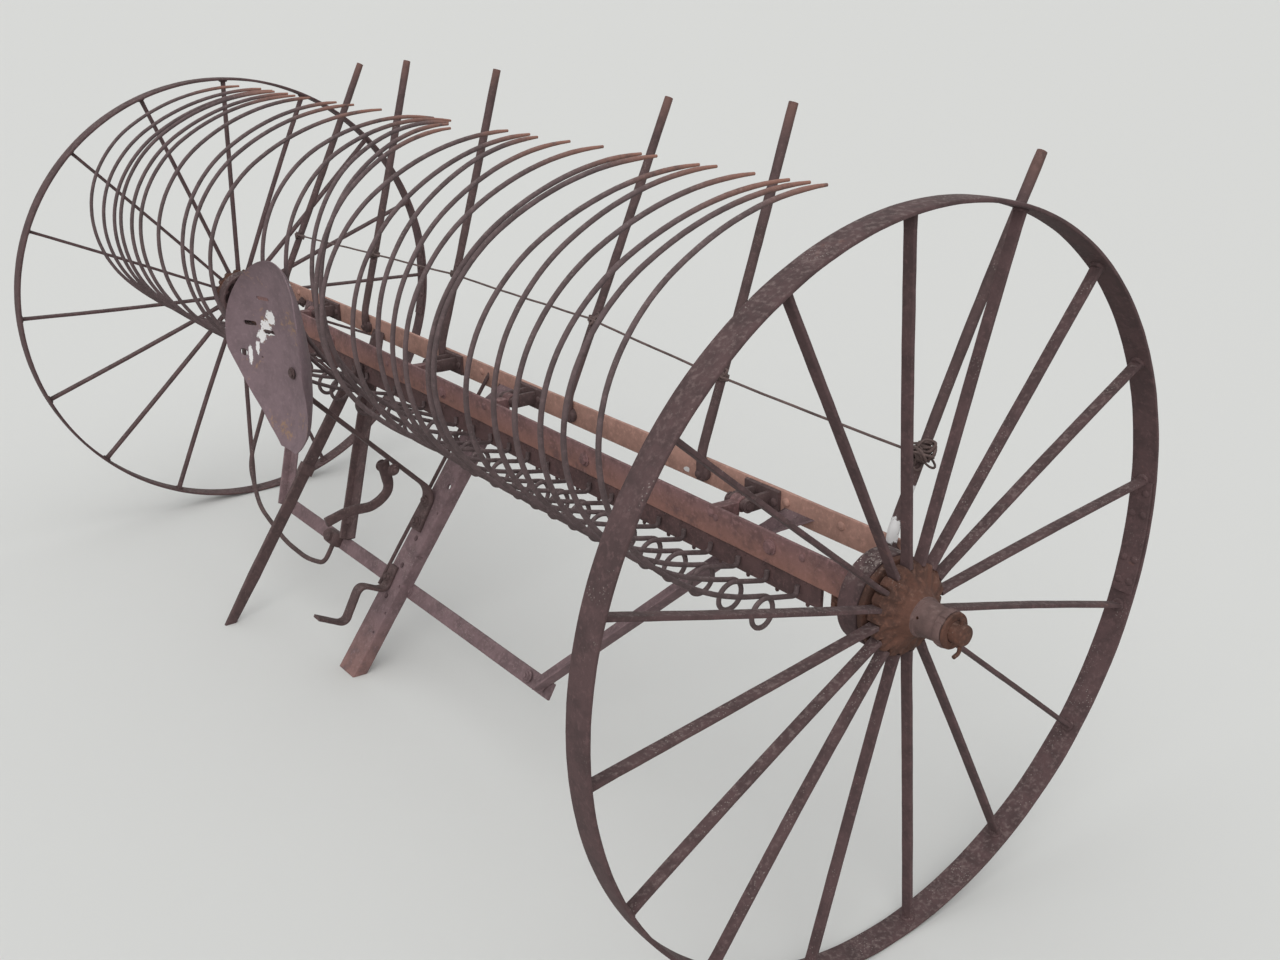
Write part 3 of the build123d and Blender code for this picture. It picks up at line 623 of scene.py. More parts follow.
# White splashes left by birds: place, and reach along X, Y and Z
STREAKS = {
    "orange_rust": (
        ((0.742, 0.112, 0.712), (0.012, 0.02, 0.006)),
        ((0.782, 0.112, 0.714), (0.01, 0.02, 0.005)),
        ((0.99, 0.112, 0.724), (0.012, 0.02, 0.006)),
    ),
    "bar_iron": (
        ((1.335, 0.1, 0.775), (0.02, 0.03, 0.028)),
        ((1.334, 0.14, 0.845), (0.02, 0.03, 0.008)),
    ),
    "seat_rust": (
        ((-0.116, -0.443, 0.962), (0.016, 0.05, 0.02)),
        ((-0.136, -0.448, 0.936), (0.017, 0.05, 0.022)),
        ((-0.155, -0.453, 0.912), (0.013, 0.05, 0.02)),
        ((-0.17, -0.46, 0.884), (0.006, 0.05, 0.02)),
        ((-0.19, -0.47, 0.862), (0.006, 0.05, 0.026)),
        ((0.07, -0.469, 1.078), (0.008, 0.05, 0.004)),
    ),
    "tooth_steel": (
        ((0.508, -0.02, 0.565), (0.03, 0.03, 0.012)),
        ((0.723, -0.03, 0.576), (0.03, 0.03, 0.012)),
    ),
}


def scaled(tint, factor=1.0):
    """A tint as a colour of four channels, brighter or darker by a factor."""
    return [min(1.0, channel * factor) for channel in tint[:3]] + [1.0]


def iron(look):
    """The weathered iron of one look, made the first time that it is asked for."""
    known = bpy.data.materials.get(look + "_weathered")
    if known:
        return known
    tints = bpy.context.scene.rake_tints
    tint, dark, light, orange, ochre, lichen, depth = LOOKS[look]
    base = getattr(tints, tint)
    material = bpy.data.materials.new(look + "_weathered")
    material.use_nodes = True
    tree = material.node_tree
    shader = tree.nodes["Principled BSDF"]
    start = Shade(tree)
    where = start.node("ShaderNodeTexCoord", {}, {}, "Object")
    facing = start.node("ShaderNodeTexCoord", {}, {}, "Normal")
    upward = start.node("ShaderNodeSeparateXYZ", {}, {0: facing}, "Z")
    worn = start.node("ShaderNodeAttribute", {"attribute_name": "wear"}, {}, "Fac")

    def mottle(scale, detail=4.0, roughness=0.6):
        """Soft noise of a given fineness."""
        values = {"Vector": where, "Scale": scale, "Detail": detail, "Roughness": roughness}
        return start.node("ShaderNodeTexNoise", {}, values)

    def specks(scale, reach):
        """Small round spots."""
        cell = start.node("ShaderNodeTexVoronoi", {}, {"Vector": where, "Scale": scale})
        return 1 - cell.rise(reach * 0.6, reach)

    def vector_math(operation, *values, out=0):
        inputs = dict(enumerate(values))
        return start.node("ShaderNodeVectorMath", {"operation": operation}, inputs, out)

    patches = mottle(4.0)
    blotches = mottle(24.0, 5.0, 0.65)
    scale = mottle(110.0)
    grain = mottle(520.0, 2.0, 0.5)
    colour = blotches.rise(0.36, 0.62).mix(scaled(base, dark), scaled(base))
    colour = (scale.rise(0.5, 0.72) * 0.7).mix(colour, scaled(base, light))
    fresh = (patches * 0.55 + blotches * 0.45).rise(0.66 - orange * 0.4, 0.76 - orange * 0.4)
    colour = (fresh * 0.65 * scale.rise(0.3, 0.6)).mix(colour, scaled(tints.orange))
    stain = (mottle(9.0) * 0.6 + scale * 0.4).rise(0.68 - ochre * 0.22, 0.74 - ochre * 0.18)
    colour = (stain * 0.6).mix(colour, scaled(tints.ochre))
    colour = (worn * blotches.rise(0.25, 0.5) * 0.85).mix(colour, scaled(tints.orange, 1.1))
    crust = specks(190.0, 0.28) * mottle(14.0).rise(0.5, 0.62) * upward.rise(-0.4, 0.7)
    dust = upward.rise(0.35, 0.95) * scale.rise(0.45, 0.7) * 0.35
    colour = (crust.most(dust) * (lichen * 1.2)).mix(colour, scaled(tints.lichen))
    colour = (grain.rise(0.55, 0.8) * 0.3).mix(colour, scaled(base, 0.35))
    for place, reach in STREAKS.get(look, ()):
        spread = vector_math("DIVIDE", vector_math("SUBTRACT", where, place), reach)
        away = vector_math("LENGTH", spread, out="Value")
        splash = 1 - (away + (scale - 0.5) * 1.6).rise(0.75, 0.95)
        colour = splash.mix(colour, scaled(tints.white))
    rough = 0.72 + blotches * 0.3 - worn * 0.1
    height = blotches * 0.5 + scale * 0.6 + grain * 0.35 + crust * 0.3
    bump = {"Strength": depth, "Distance": 0.0012, "Height": height}
    relief = start.node("ShaderNodeBump", {}, bump)
    for name, value in (("Base Color", colour), ("Roughness", rough), ("Normal", relief)):
        tree.links.new(value.socket, shader.inputs[name])
    return material


# Wheels


def wheel_sides(context):
    """Name, side and turn of each wheel."""
    sizes = context.scene.rake_wheel
    return (("near", 1, sizes.near_phase), ("far", -1, sizes.far_phase))


class RAKE_OT_tyres(bpy.types.Operator):
    """Make the two tyres with their rivets and the splice plate"""

    bl_idname = "rake.tyres"
    bl_label = "Tyres"

    def execute(self, context):
        sizes = context.scene.rake_wheel
        middle = sizes.track_half
        half = sizes.tyre_width / 2
        outer = sizes.radius
        inner = outer - sizes.tyre_thick
        crown = ((1, 0.0012), (0.5, 0.0003), (0, 0.0001), (-0.5, 0.0003), (-1, 0.0012))
        corners = [(-half, inner), (0, inner), (half, inner)]
        corners += [(half * share, outer - drop) for share, drop in crown]
        outline = rounded(corners, 0.0022)
        stations = 288
        for name, side, phase in wheel_sides(context):
            form = Form()
            rings = []
            for station in range(stations):
                angle = TAU * station / stations
                edge = noise.noise(Vector((math.cos(angle), math.sin(angle), side)) * 9) * 0.0008
                ring = []
                for x, radius in outline:
                    widen = 1 + edge / half if abs(x) > half * 0.8 else 1
                    ring.append(wheel_point(side, angle, middle + x * widen, radius))
                rings.append(form.ring(ring))
            form.skin(rings, loop=True)
            for index in range(sizes.spokes):
                angle = phase + index * TAU / sizes.spokes
                way = tilted(angle)
                dome(form, wheel_point(side, angle, middle, outer - 0.0012), way, 0.0105, 0.0013)
                foot = wheel_point(side, angle, middle, inner + 0.001)
                lathe(form, [(0, 0.0135), (0.004, 0.0135), (0.0065, 0.011)], foot, -way, 16)
            splice = [math.radians(84 + 2 * step) for step in range(11)]
            plate = [wheel_point(side, angle, middle, inner - 0.0028) for angle in splice]
            sweep(form, plate, flat(sizes.tyre_width - 0.008, 0.0056), wide=WIDE)
            for degrees in (86, 90, 98, 102):
                angle = math.radians(degrees)
                for x in (-0.012, 0.012):
                    spot = wheel_point(side, angle, middle + x, inner - 0.0055)
                    dome(form, spot, -tilted(angle), 0.008, 0.0045)
            settle(form, name + "_tyre", "wheel_" + name, "wheel_iron", "rim_" + name)
        return {"FINISHED"}


class RAKE_OT_spokes(bpy.types.Operator):
    """Make the flat spokes"""

    bl_idname = "rake.spokes"
    bl_label = "Spokes"

    def execute(self, context):
        sizes = context.scene.rake_wheel
        root = sizes.flange_radius - 0.005
        inner = sizes.radius - sizes.tyre_thick + 0.001
        outline = flat(sizes.spoke_width, sizes.spoke_thick, 0.0018)
        steps = 20
        draw = random.Random(7)
        for name, side, phase in wheel_sides(context):
            form = Form()
            for index in range(sizes.spokes):
                angle = phase + index * TAU / sizes.spokes
                foot = wheel_point(side, angle, sizes.track_half - 0.005, root)
                head = wheel_point(side, angle, sizes.track_half, inner)
                wide = Vector((0, math.cos(angle), -math.sin(angle)))
                bow = wide * draw.uniform(-0.003, 0.003) + WIDE * draw.uniform(-0.002, 0.002)
                line = []
                swell = []
                for step in range(steps + 1):
                    t = step / steps
                    line.append(foot.lerp(head, t) + bow * math.sin(math.pi * t))
                    flare = 0.1 * max(0.0, 1 - t / 0.05) + 0.08 * max(0.0, (t - 0.97) / 0.03)
                    swell.append(1.0 + flare)
                sweep(form, line, outline, wide=WIDE, sizes=swell)
            body, node = "wheel_" + name, "spokes_" + name
            settle(form, name + "_spokes", body, "wheel_iron", node, 0.0004, 30)
        return {"FINISHED"}


class RAKE_OT_hubs(bpy.types.Operator):
    """Make the cast hubs with their lobed flanges and noses"""

    bl_idname = "rake.hubs"
    bl_label = "Hubs"

    def execute(self, context):
        sizes = context.scene.rake_wheel
        reach = sizes.flange_radius
        barrel = sizes.barrel_radius
        step_angle = TAU / sizes.spokes
        # Place along the axle and radius: inner flange, barrel, disc of the spokes, its dished
        # face, nose, and the collar at the end
        profile = [
            (1.428, BORE), (1.428, 0.05), (1.428, reach - 0.003), (1.4295, reach - 0.001),
            (1.4405, reach - 0.001), (1.442, reach - 0.003), (1.4428, 0.06),
            (1.4445, barrel + 0.004), (1.4478, barrel + 0.003),
            (1.4495, 0.06), (1.4502, reach - 0.005), (1.453, reach - 0.0005), (1.46, reach),
            (1.47, reach), (1.4765, reach - 0.001), (1.4795, reach - 0.004),
            (1.4825, 0.073), (1.486, 0.064), (1.489, 0.055), (1.493, 0.047), (1.498, 0.041),
            (1.503, 0.0365), (1.504, 0.035), (1.5045, 0.0362), (1.5075, 0.0362),
            (1.5085, 0.0325), (1.52, 0.0318), (1.535, 0.0308), (1.548, 0.0298),
            (1.5495, 0.0335), (1.553, 0.0345), (1.56, 0.0345), (1.563, 0.033), (1.563, BORE),
        ]
        for name, side, phase in wheel_sides(context):
            form = Form()

            def lobed(angle, along, radius, phase=phase, side=side):
                """Shallow blocks round the spoke feet, and notches of uneven depth between."""
                if radius < 0.06:
                    return radius + 0.0006 * noise.noise(Vector((along * 90, angle * 3, side)))
                at = Vector((math.cos(angle) * 6, math.sin(angle) * 6, along * 60))
                rough = 0.0012 * noise.noise(at)
                if along < 1.446:
                    return radius + rough * 0.4
                turn = (side * angle - phase) / step_angle
                away = abs(turn % 1 - 0.5) * 2
                uneven = noise.noise(Vector((round(turn - 0.5) * 1.7, 4.0, side)))
                depth = 0.006 + 0.012 * max(0.0, uneven)
                notch = depth * (1 - min(1.0, max(0.0, (away - 0.2) / 0.3)))
                return radius - notch * min(1.0, (radius - 0.06) / 0.02) + rough * 1.6

            lathe(form, profile, AXLE, (side, 0, 0), 160, lobed, loop=True)
            for index, place in enumerate(form.points):
                radius = math.hypot(place.y, place.z - AXLE.z)
                turn = math.atan2(place.y, place.z - AXLE.z)
                out = side * place.x
                dished = 1.474 < out < 1.5 and radius > 0.046
                collar = 1.5495 < out < 1.5635 and radius > 0.03
                if dished:
                    rib = math.cos(TAU * (turn - phase) / step_angle)
                    rib *= min(1.0, (radius - 0.046) / 0.015)
                    lump = noise.noise(place * 38) * 0.005 + rib * 0.0036
                    form.points[index] = place - WIDE * side * max(0.0, 0.0036 - lump)
                elif collar and abs(math.sin(turn * 2.5 + 0.4)) > 0.9:
                    form.points[index] = place - tilted(turn) * 0.003
            body, node = "wheel_" + name, "hub_" + name
            piece = settle(form, name + "_hub", body, "hub_rust", node, 0.0007, 120)
            piece.data.materials.append(iron("nose_iron"))
            for face in piece.data.polygons:
                if side * face.center.x > 1.503:
                    face.material_index = 1
            oil = Form()
            turn = math.radians(291)
            spot = wheel_point(side, turn, 1.5135, 0.0)
            lathe(oil, [(0.024, 0.0027), (0.04, 0.0027)], spot, tilted(turn), 16)
            carve(piece, oil)
        return {"FINISHED"}


class RAKE_OT_spindles(bpy.types.Operator):
    """Make the spindles with their blocks, washers and pins"""

    bl_idname = "rake.spindles"
    bl_label = "Spindles"

    def execute(self, context):
        end_x = context.scene.rake_head.beam_half
        # Place along the axle and radius: end plate, shoulder, spindle
        profile = [
            (end_x, 0.001), (end_x, 0.058), (end_x + 0.002, 0.06), (end_x + 0.0065, 0.06),
            (end_x + 0.008, 0.058), (end_x + 0.0085, 0.03), (end_x + 0.012, 0.027),
            (1.417, 0.027), (1.417, SPINDLE), (1.5705, SPINDLE), (1.59, SPINDLE),
            (1.5932, 0.0175), (1.5943, 0.014), (1.5944, 0.001),
        ]
        ring = [
            (1.5648, 0.02), (1.5648, 0.032), (1.566, 0.033),
            (1.569, 0.033), (1.5705, 0.032), (1.5705, 0.02),
        ]
        block = rounded(oblong(-0.02, 0, 0.02, -0.046), 0.004)
        for name, side, _ in wheel_sides(context):
            form = Form()
            lathe(form, profile, AXLE, (side, 0, 0), 48)
            spot = Vector((side * end_x, 0, BEAM_FOOT_Z))
            run = [spot, spot - WIDE * side * 0.035, spot - WIDE * side * 0.07]
            sweep(form, run, block, face=UP)
            for x in (0.018, 0.052):
                place = Vector((side * (end_x - x), -0.02, 0.662))
                bolt(form, place, AHEAD, 0.011, 0.009, 0.4 + x * 20, 4, 0.006)
            place = Vector((side * (end_x - 0.052), 0, 0.6385))
            bolt(form, place, -UP, 0.0165, 0.014, 0.5, 4, 0.012)
            node = "spindle_" + name
            settle(form, name + "_spindle", "rake_head", "hub_rust", node, 0.0004, 90)
            pin = Form()
            lathe(pin, ring, AXLE, (side, 0, 0), 36, loop=True)
            low = Vector((side * 1.5825, 0, AXLE.z - 0.035))
            high = low + UP * 0.062
            bent = line_through([low + Vector((0, -0.014, -0.004)), low, high], 0.006, 0.006)
            sweep(pin, bent, circle(0.0038))
            dome(pin, high, UP, 0.0052, 0.003)
            node = "linch_pin_" + name
            settle(pin, name + "_pin", "rake_head", "hub_rust", node, 0.0003, 150)
        return {"FINISHED"}


class RAKE_OT_drums(bpy.types.Operator):
    """Make the ratchet drums behind the hubs"""

    bl_idname = "rake.drums"
    bl_label = "Drums"

    def execute(self, context):
        saw_teeth = 12
        profile = [
            (1.42, 0.0195), (1.42, 0.06), (1.42, 0.08), (1.405, 0.08), (1.3865, 0.08),
            (1.3848, 0.0812), (1.384, 0.083), (1.384, 0.0865), (1.3855, 0.088),
            (1.39, 0.088), (1.41, 0.088), (1.4265, 0.088), (1.428, 0.0865), (1.428, 0.0195),
        ]
        for name, side, phase in wheel_sides(context):
            form = Form()

            def stepped(angle, along, radius, phase=phase, side=side):
                """Saw teeth round the inside of the drum."""
                if not 0.079 < radius < 0.0801:
                    return radius
                turn = (side * angle - phase) * saw_teeth / TAU
                return radius - 0.007 * max(0.0, 1 - (turn % 1) / 0.34)

            lathe(form, profile, AXLE, (side, 0, 0), 144, stepped, loop=True)
            body, node = "wheel_" + name, "drum_" + name
            settle(form, name + "_drum", body, "hub_rust", node, 0.0005, 60, look="drum_iron")
        return {"FINISHED"}


# Rake head


def angle_iron(height, depth, thick):
    """Outline of an angle: its face stands on the line, its flange runs back from the foot."""
    corners = [(0, 0), (depth, 0), (depth, thick), (thick, thick), (thick, height), (0, height)]
    return rounded(corners, 0.0018)


def long_run(form, outline, half, y, z, wear_at=None):
    """Sweep an outline along X with slight waves. Its first axis points back, its second up."""
    count = math.ceil(2 * half / 0.045)
    rings = []
    for index in range(count + 1):
        x = -half + 2 * half * index / count
        shift = waver((x, y, z), 0.0006, 2.4)
        ring = []
        for back, up in outline:
            nick = waver((x, back * 20, up * 20), 0.0005, 14)
            ring.append((x, y + back + shift.y + nick.y, z + up + shift.z + nick.z))
        rings.append(form.ring(ring))
        if wear_at is not None:
            for corner, (back, up) in zip(rings[-1], outline):
                form.wear[corner] = 0.7 if up < wear_at and back < wear_at else 0.0
    form.skin(rings)


class RAKE_OT_beam(bpy.types.Operator):
    """Make the head beam with its bolts and the tooth holder with its pins"""

    bl_idname = "rake.beam"
    bl_label = "Head beam"

    def execute(self, context):
        sizes = context.scene.rake_head
        teeth = context.scene.rake_teeth
        form = Form()
        outline = angle_iron(sizes.beam_height, sizes.beam_depth, sizes.iron)
        long_run(form, outline, sizes.beam_half, -0.03, BEAM_FOOT_Z, wear_at=0.0025)
        sag = 0.0125
        for place in form.points:
            place.z += 0.006 - sag * (place.x / sizes.beam_half + 1) / 2
        settle(form, "head_beam", "rake_head", "beam_rust", "main_beam")
        form = Form()
        outline = angle_iron(sizes.holder_height, sizes.holder_depth, sizes.iron)
        outline = [(back, -up) for back, up in outline]
        long_run(form, outline, sizes.holder_half, -0.024, 0.6838)
        for slot in range(TOOTH_SLOTS):
            x = teeth.first - slot * teeth.pitch
            for shift in (-0.014, 0.014):
                dome(form, (x + shift, -0.024, 0.672), AHEAD, 0.0045, 0.002, 10)
            foot = Vector((x + 0.014, -0.013, 0.634))
            pin = [foot, foot - UP * 0.011, foot - UP * 0.014]
            sweep(form, pin, circle(0.0042, 10), sizes=[1, 1, 0.7])
        look = "holder_iron"
        settle(form, "tooth_rail", "rake_head", "beam_rust", "tooth_holder", look=look)
        form = Form()
        for share in (0.838, 0.406, -0.044, -0.508, -0.838):
            place = Vector((share * sizes.beam_half, BEAM_FACE_Y, 0.714))
            bolt(form, place, AHEAD, 0.0125, 0.008, share * 3)
            behind = place + Vector((0, 0.0084, 0))
            bolt(form, behind, BACK, 0.012, 0.009, share * 5, 4, 0.005)
        for x in (1.24, 1.0, 0.76, 0.28, -0.36, -0.9, -1.24):
            dome(form, (x, BEAM_FACE_Y, 0.722), AHEAD, 0.0075, 0.003)
            dome(form, (x, 0.012, 0.692), UP, 0.009, 0.005)
        settle(form, "head_bolts", "rake_head", "beam_rust", "beam_bolts")
        return {"FINISHED"}


def tooth_line(sizes):
    """Centre line of one tooth in its own frame, hooked end first."""
    rise = math.radians(15)
    ahead = Vector((0, -math.cos(rise), math.sin(rise)))
    under = Vector((0, -math.sin(rise), -math.cos(rise)))
    hook = 0.009
    line = [Vector((0, 0, hook + 0.01)), Vector((0, 0, hook + 0.005)), Vector((0, 0, hook))]
    centre = Vector((0, -hook, hook))
    for step in range(1, 8):
        turn = -math.radians(105) * step / 7
        line.append(centre + Vector((0, math.cos(turn), math.sin(turn))) * hook)
    arm_start = line[-1]
    arm_end = arm_start + ahead * sizes.arm
    line.extend(arm_start.lerp(arm_end, t) for t in (0.25, 0.5, 0.75, 1.0))
    middle = arm_end + under * sizes.coil
    for step in range(1, 33):
        turn = TAU * step / 32
        spot = middle + (ahead * math.sin(turn) - under * math.cos(turn)) * sizes.coil
        line.append(spot - WIDE * sizes.shift * step / 32)
    point = line[-1] + ahead * sizes.straight
    line.extend([line[-1].lerp(point, 0.5), point])
    heading = rise
    for radius, degrees in TOOTH_BENDS:
        turn = math.radians(degrees)
        centre = point + tilted(heading) * radius
        steps = max(6, round(degrees / 2.6))
        for step in range(1, steps + 1):
            now = heading + turn * step / steps
            line.append(centre - tilted(now) * radius)
        point = line[-1]
        heading += turn
    return line


def tooth_place(sizes, slot, swing, lean, pitch):
    """Where a tooth hooks into the holder, and how it stands there."""
    turns = [
        Matrix.Rotation(math.radians(swing), 4, "Z"),
        Matrix.Rotation(math.radians(lean), 4, "Y"),
        Matrix.Rotation(math.radians(-pitch), 4, "X"),
    ]
    stand = turns[0] @ turns[1] @ turns[2]
    stub_top = stand @ Vector((0, 0, 0.019))
    hook_x = sizes.first - slot * sizes.pitch
    hook = Vector((hook_x, HOOK_Y - max(stub_top.y, 0), HOOK_Z))
    return Matrix.Translation(hook) @ stand


class RAKE_OT_teeth(bpy.types.Operator):
    """Make the coiled spring teeth"""

    bl_idname = "rake.teeth"
    bl_label = "Teeth"

    def execute(self, context):
        sizes = context.scene.rake_teeth
        line = tooth_line(sizes)
        run = [0.0]
        for one, other in zip(line, line[1:]):
            run.append(run[-1] + (other - one).length)
        whole = run[-1]
        draw = random.Random(11)
        for name, table in (("near", NEAR_TEETH), ("far", FAR_TEETH)):
            form = Form()
            for slot, angles in table.items():
                stand = tooth_place(sizes, slot, *angles)
                point = sizes.point * draw.uniform(0.5, 1.3)
                taper = []
                wear = []
                for along in run:
                    left = (whole - along) / point
                    taper.append(0.62 + 0.38 * min(1.0, left / 0.35))
                    wear.append(max(0.0, 1 - left))
                places = [stand @ place for place in line]
                sweep(form, places, circle(sizes.wire, 10), sizes=taper, wear=wear)
            node = "teeth_" + name
            settle(form, name + "_teeth", "rake_head", "tooth_steel", node, 0.0003, 60, 50)
        return {"FINISHED"}


def mirrored(profile):
    """A profile followed by its mirror image."""
    return profile + [(-along, radius) for along, radius in reversed(profile)]


class RAKE_OT_hinges(bpy.types.Operator):
    """Make the hinges between the frame and the rake head"""

    bl_idname = "rake.hinges"
    bl_label = "Hinges"

    def execute(self, context):
        lugs = Form()
        brackets = Form()
        pins = Form()
        hole = 0.0085
        barrel = [(-0.014, hole), (-0.014, 0.015), (-0.012, 0.017), (-0.008, 0.017)]
        barrel += [(-0.006, 0.0155)]
        barrel = mirrored(barrel)
        web = [(-0.028, -0.032), (0.021, -0.032), (0.031, -0.012), (0.027, 0.014), (-0.028, 0.016)]
        web = rounded(web, 0.004)
        plate = [(0.036, -0.016), (0.036, 0.016), (-0.025, 0.016)]
        plate += [(-0.045, 0.008), (-0.045, -0.008), (-0.025, -0.016)]
        plate = rounded(plate, 0.007)
        foot = [(0.1115, 0.7), (0.1115, 0.754), (0.104, 0.752), (0.104, 0.702)]
        rod = mirrored([(-0.031, 0.001), (-0.031, 0.0068), (-0.0295, 0.008)])
        for x in HINGES:
            centre = Vector((x, HINGE_Y, HINGE_Z))
            lathe(lugs, barrel, centre, WIDE, 28, loop=True)
            layers = ((-0.013, 0.94), (-0.011, 1.0), (0.011, 1.0), (0.013, 0.94))
            slab(lugs, web, layers, lambda y, z, out: (x + out, 0.006 + y, 0.724 + z))
            dome(lugs, (x, BEAM_FACE_Y, 0.728), AHEAD, 0.009, 0.003)
            layers = ((-0.005, 0.93), (-0.004, 1.0), (0.004, 1.0), (0.005, 0.93))
            for side_x in (x - 0.02, x + 0.02):
                middle = Vector((side_x, 0.075, HINGE_Z))
                slab(brackets, plate, layers, lambda y, z, out: middle + Vector((out, y, z)))
            layers = ((-0.05, 1), (-0.02, 1), (0.02, 1), (0.05, 1))
            slab(brackets, foot, layers, lambda y, z, out: (x + out, y, z))
            for spot in (-0.038, 0.038):
                dome(brackets, (x + spot, 0.104, 0.728), AHEAD, 0.009, 0.006)
            lathe(pins, rod, centre, WIDE, 20)
            for way in (-1, 1):
                inside, outside = way * 0.0255, way * 0.0295
                collar = [(inside, hole), (inside, 0.014), (outside, 0.014), (outside, hole)]
                lathe(pins, collar, centre, WIDE, 20, loop=True)
        settle(lugs, "hinge_barrels", "rake_head", "beam_rust", "hinge_lugs", 0.0005, 110)
        for form, name, node, roughen in (
            (brackets, "hinge_plates", "hinge_brackets", 0.0005),
            (pins, "hinge_rods", "hinge_pins", 0.0003),
        ):
            settle(form, name, "frame", "frame_rust", node, roughen, 110, look="bar_iron")
        return {"FINISHED"}


class RAKE_OT_hand_lever(bpy.types.Operator):
    """Make the hand lever that hangs from the tooth holder"""

    bl_idname = "rake.hand_lever"
    bl_label = "Hand lever"

    def execute(self, context):
        form = Form()
        x = -0.537
        top = Vector((x, -0.065, 0.632))
        foot = Vector((x, -0.486, 0.0))
        way = (foot - top).normalized()
        wide = Vector((0, -0.83, 0.55)).normalized()
        points = [(x, -0.0285, 0.678), (x, -0.0285, 0.65), top, foot + way * 0.03]
        line = line_through(points, 0.02)
        taper = [1.0 if place.z > 0.12 else 0.78 + 0.22 * max(place.z, 0) / 0.12 for place in line]
        sweep(form, line, flat(0.034, 0.014, 0.003), wide=wide, sizes=taper, trims=(None, GROUND))
        plate = [(x - 0.019, -0.0283, 0.68), (x - 0.019, -0.0283, 0.629)]
        sweep(form, plate, rounded(oblong(0, -0.004, 0.038, 0.004), 0.0015), wide=WIDE)
        for z in (0.67, 0.64):
            bolt(form, (x + 0.012, -0.0325, z), AHEAD, 0.009, 0.007, z * 9)
        collar = top.lerp(foot, 0.34)
        sweep(form, [collar, collar + way * 0.03], flat(0.042, 0.021, 0.003), wide=wide)
        look = "bar_iron"
        settle(form, "lever", "rake_head", "frame_rust", "hand_lever", 0.0005, 50, look=look)
        return {"FINISHED"}


# Frame


class RAKE_OT_rear_angle(bpy.types.Operator):
    """Make the rear angle iron with its rivets"""

    bl_idname = "rake.rear_angle"
    bl_label = "Rear angle"

    def execute(self, context):
        sizes = context.scene.rake_frame
        form = Form()
        outline = angle_iron(sizes.rear_height, sizes.rear_depth, 0.008)
        long_run(form, outline, sizes.rear_half, 0.112, 0.698)
        for x in (1.2, 1.05, 0.62, 0.43, -0.1, -0.52, -0.68, -1.1, -1.24):
            bolt(form, (x, 0.1202, 0.734), BACK, 0.011, 0.008, x * 4, 4, 0.005)
            dome(form, (x, 0.1118, 0.734), AHEAD, 0.0095, 0.005)
        settle(form, "rear_iron", "frame", "orange_rust", "rear_angle")
        return {"FINISHED"}


def rod_way(side_lean, back_lean):
    """The way that a leaning cleaner rod points."""
    lean = (math.tan(math.radians(side_lean)), math.tan(math.radians(back_lean)), 1)
    return Vector(lean).normalized()


def waved(angle, along, radius):
    """A roughly forged edge."""
    return radius * (1 + 0.04 * math.sin(3 * angle + 0.7))


class RAKE_OT_cleaner_rods(bpy.types.Operator):
    """Make the six cleaner rods"""

    bl_idname = "rake.cleaner_rods"
    bl_label = "Cleaner rods"

    def execute(self, context):
        sizes = context.scene.rake_frame
        slant = sizes.rod_rise - (ROD_BEND_Z - ROD_FOOT_Z)
        bolt_z = ROD_FOOT_Z + 0.012
        form = Form()
        for x, side_lean, back_lean, _ in CLEANER_RODS:
            bend = Vector((x, ROD_FOOT_Y, ROD_BEND_Z))
            top = bend + rod_way(side_lean, back_lean) * slant
            line = line_through([(x, ROD_FOOT_Y, ROD_FOOT_Z), bend, top], 0.024)
            bow = -0.006 if x > 1.3 else 0.002
            shares = [min(1, max(0, (place.z - ROD_BEND_Z) / 0.66)) for place in line]
            line = [
                place + WIDE * bow * math.sin(math.pi * share) for place, share in zip(line, shares)
            ]
            swell = [0.96 + 0.05 * noise.noise(place * 12) for place in line]
            swell[0], swell[-1] = 0.86, 0.92
            wear = [max(0.0, 1 - (top.z - place.z) / 0.07) * 0.35 for place in line]
            sweep(form, line, circle(sizes.rod, 16), sizes=swell, wear=wear)
            boss = [(0, 0.019), (0.009, 0.019), (0.0125, 0.016), (0.014, 0.011)]
            lathe(form, boss, (x, 0.1115, bolt_z), AHEAD, 24, waved)
            dome(form, (x, ROD_FOOT_Y - 0.0095, bolt_z), AHEAD, 0.008, 0.005)
        look = "bar_iron"
        settle(form, "push_rods", "frame", "frame_rust", "cleaner_rods", 0.0005, 55, look=look)
        return {"FINISHED"}


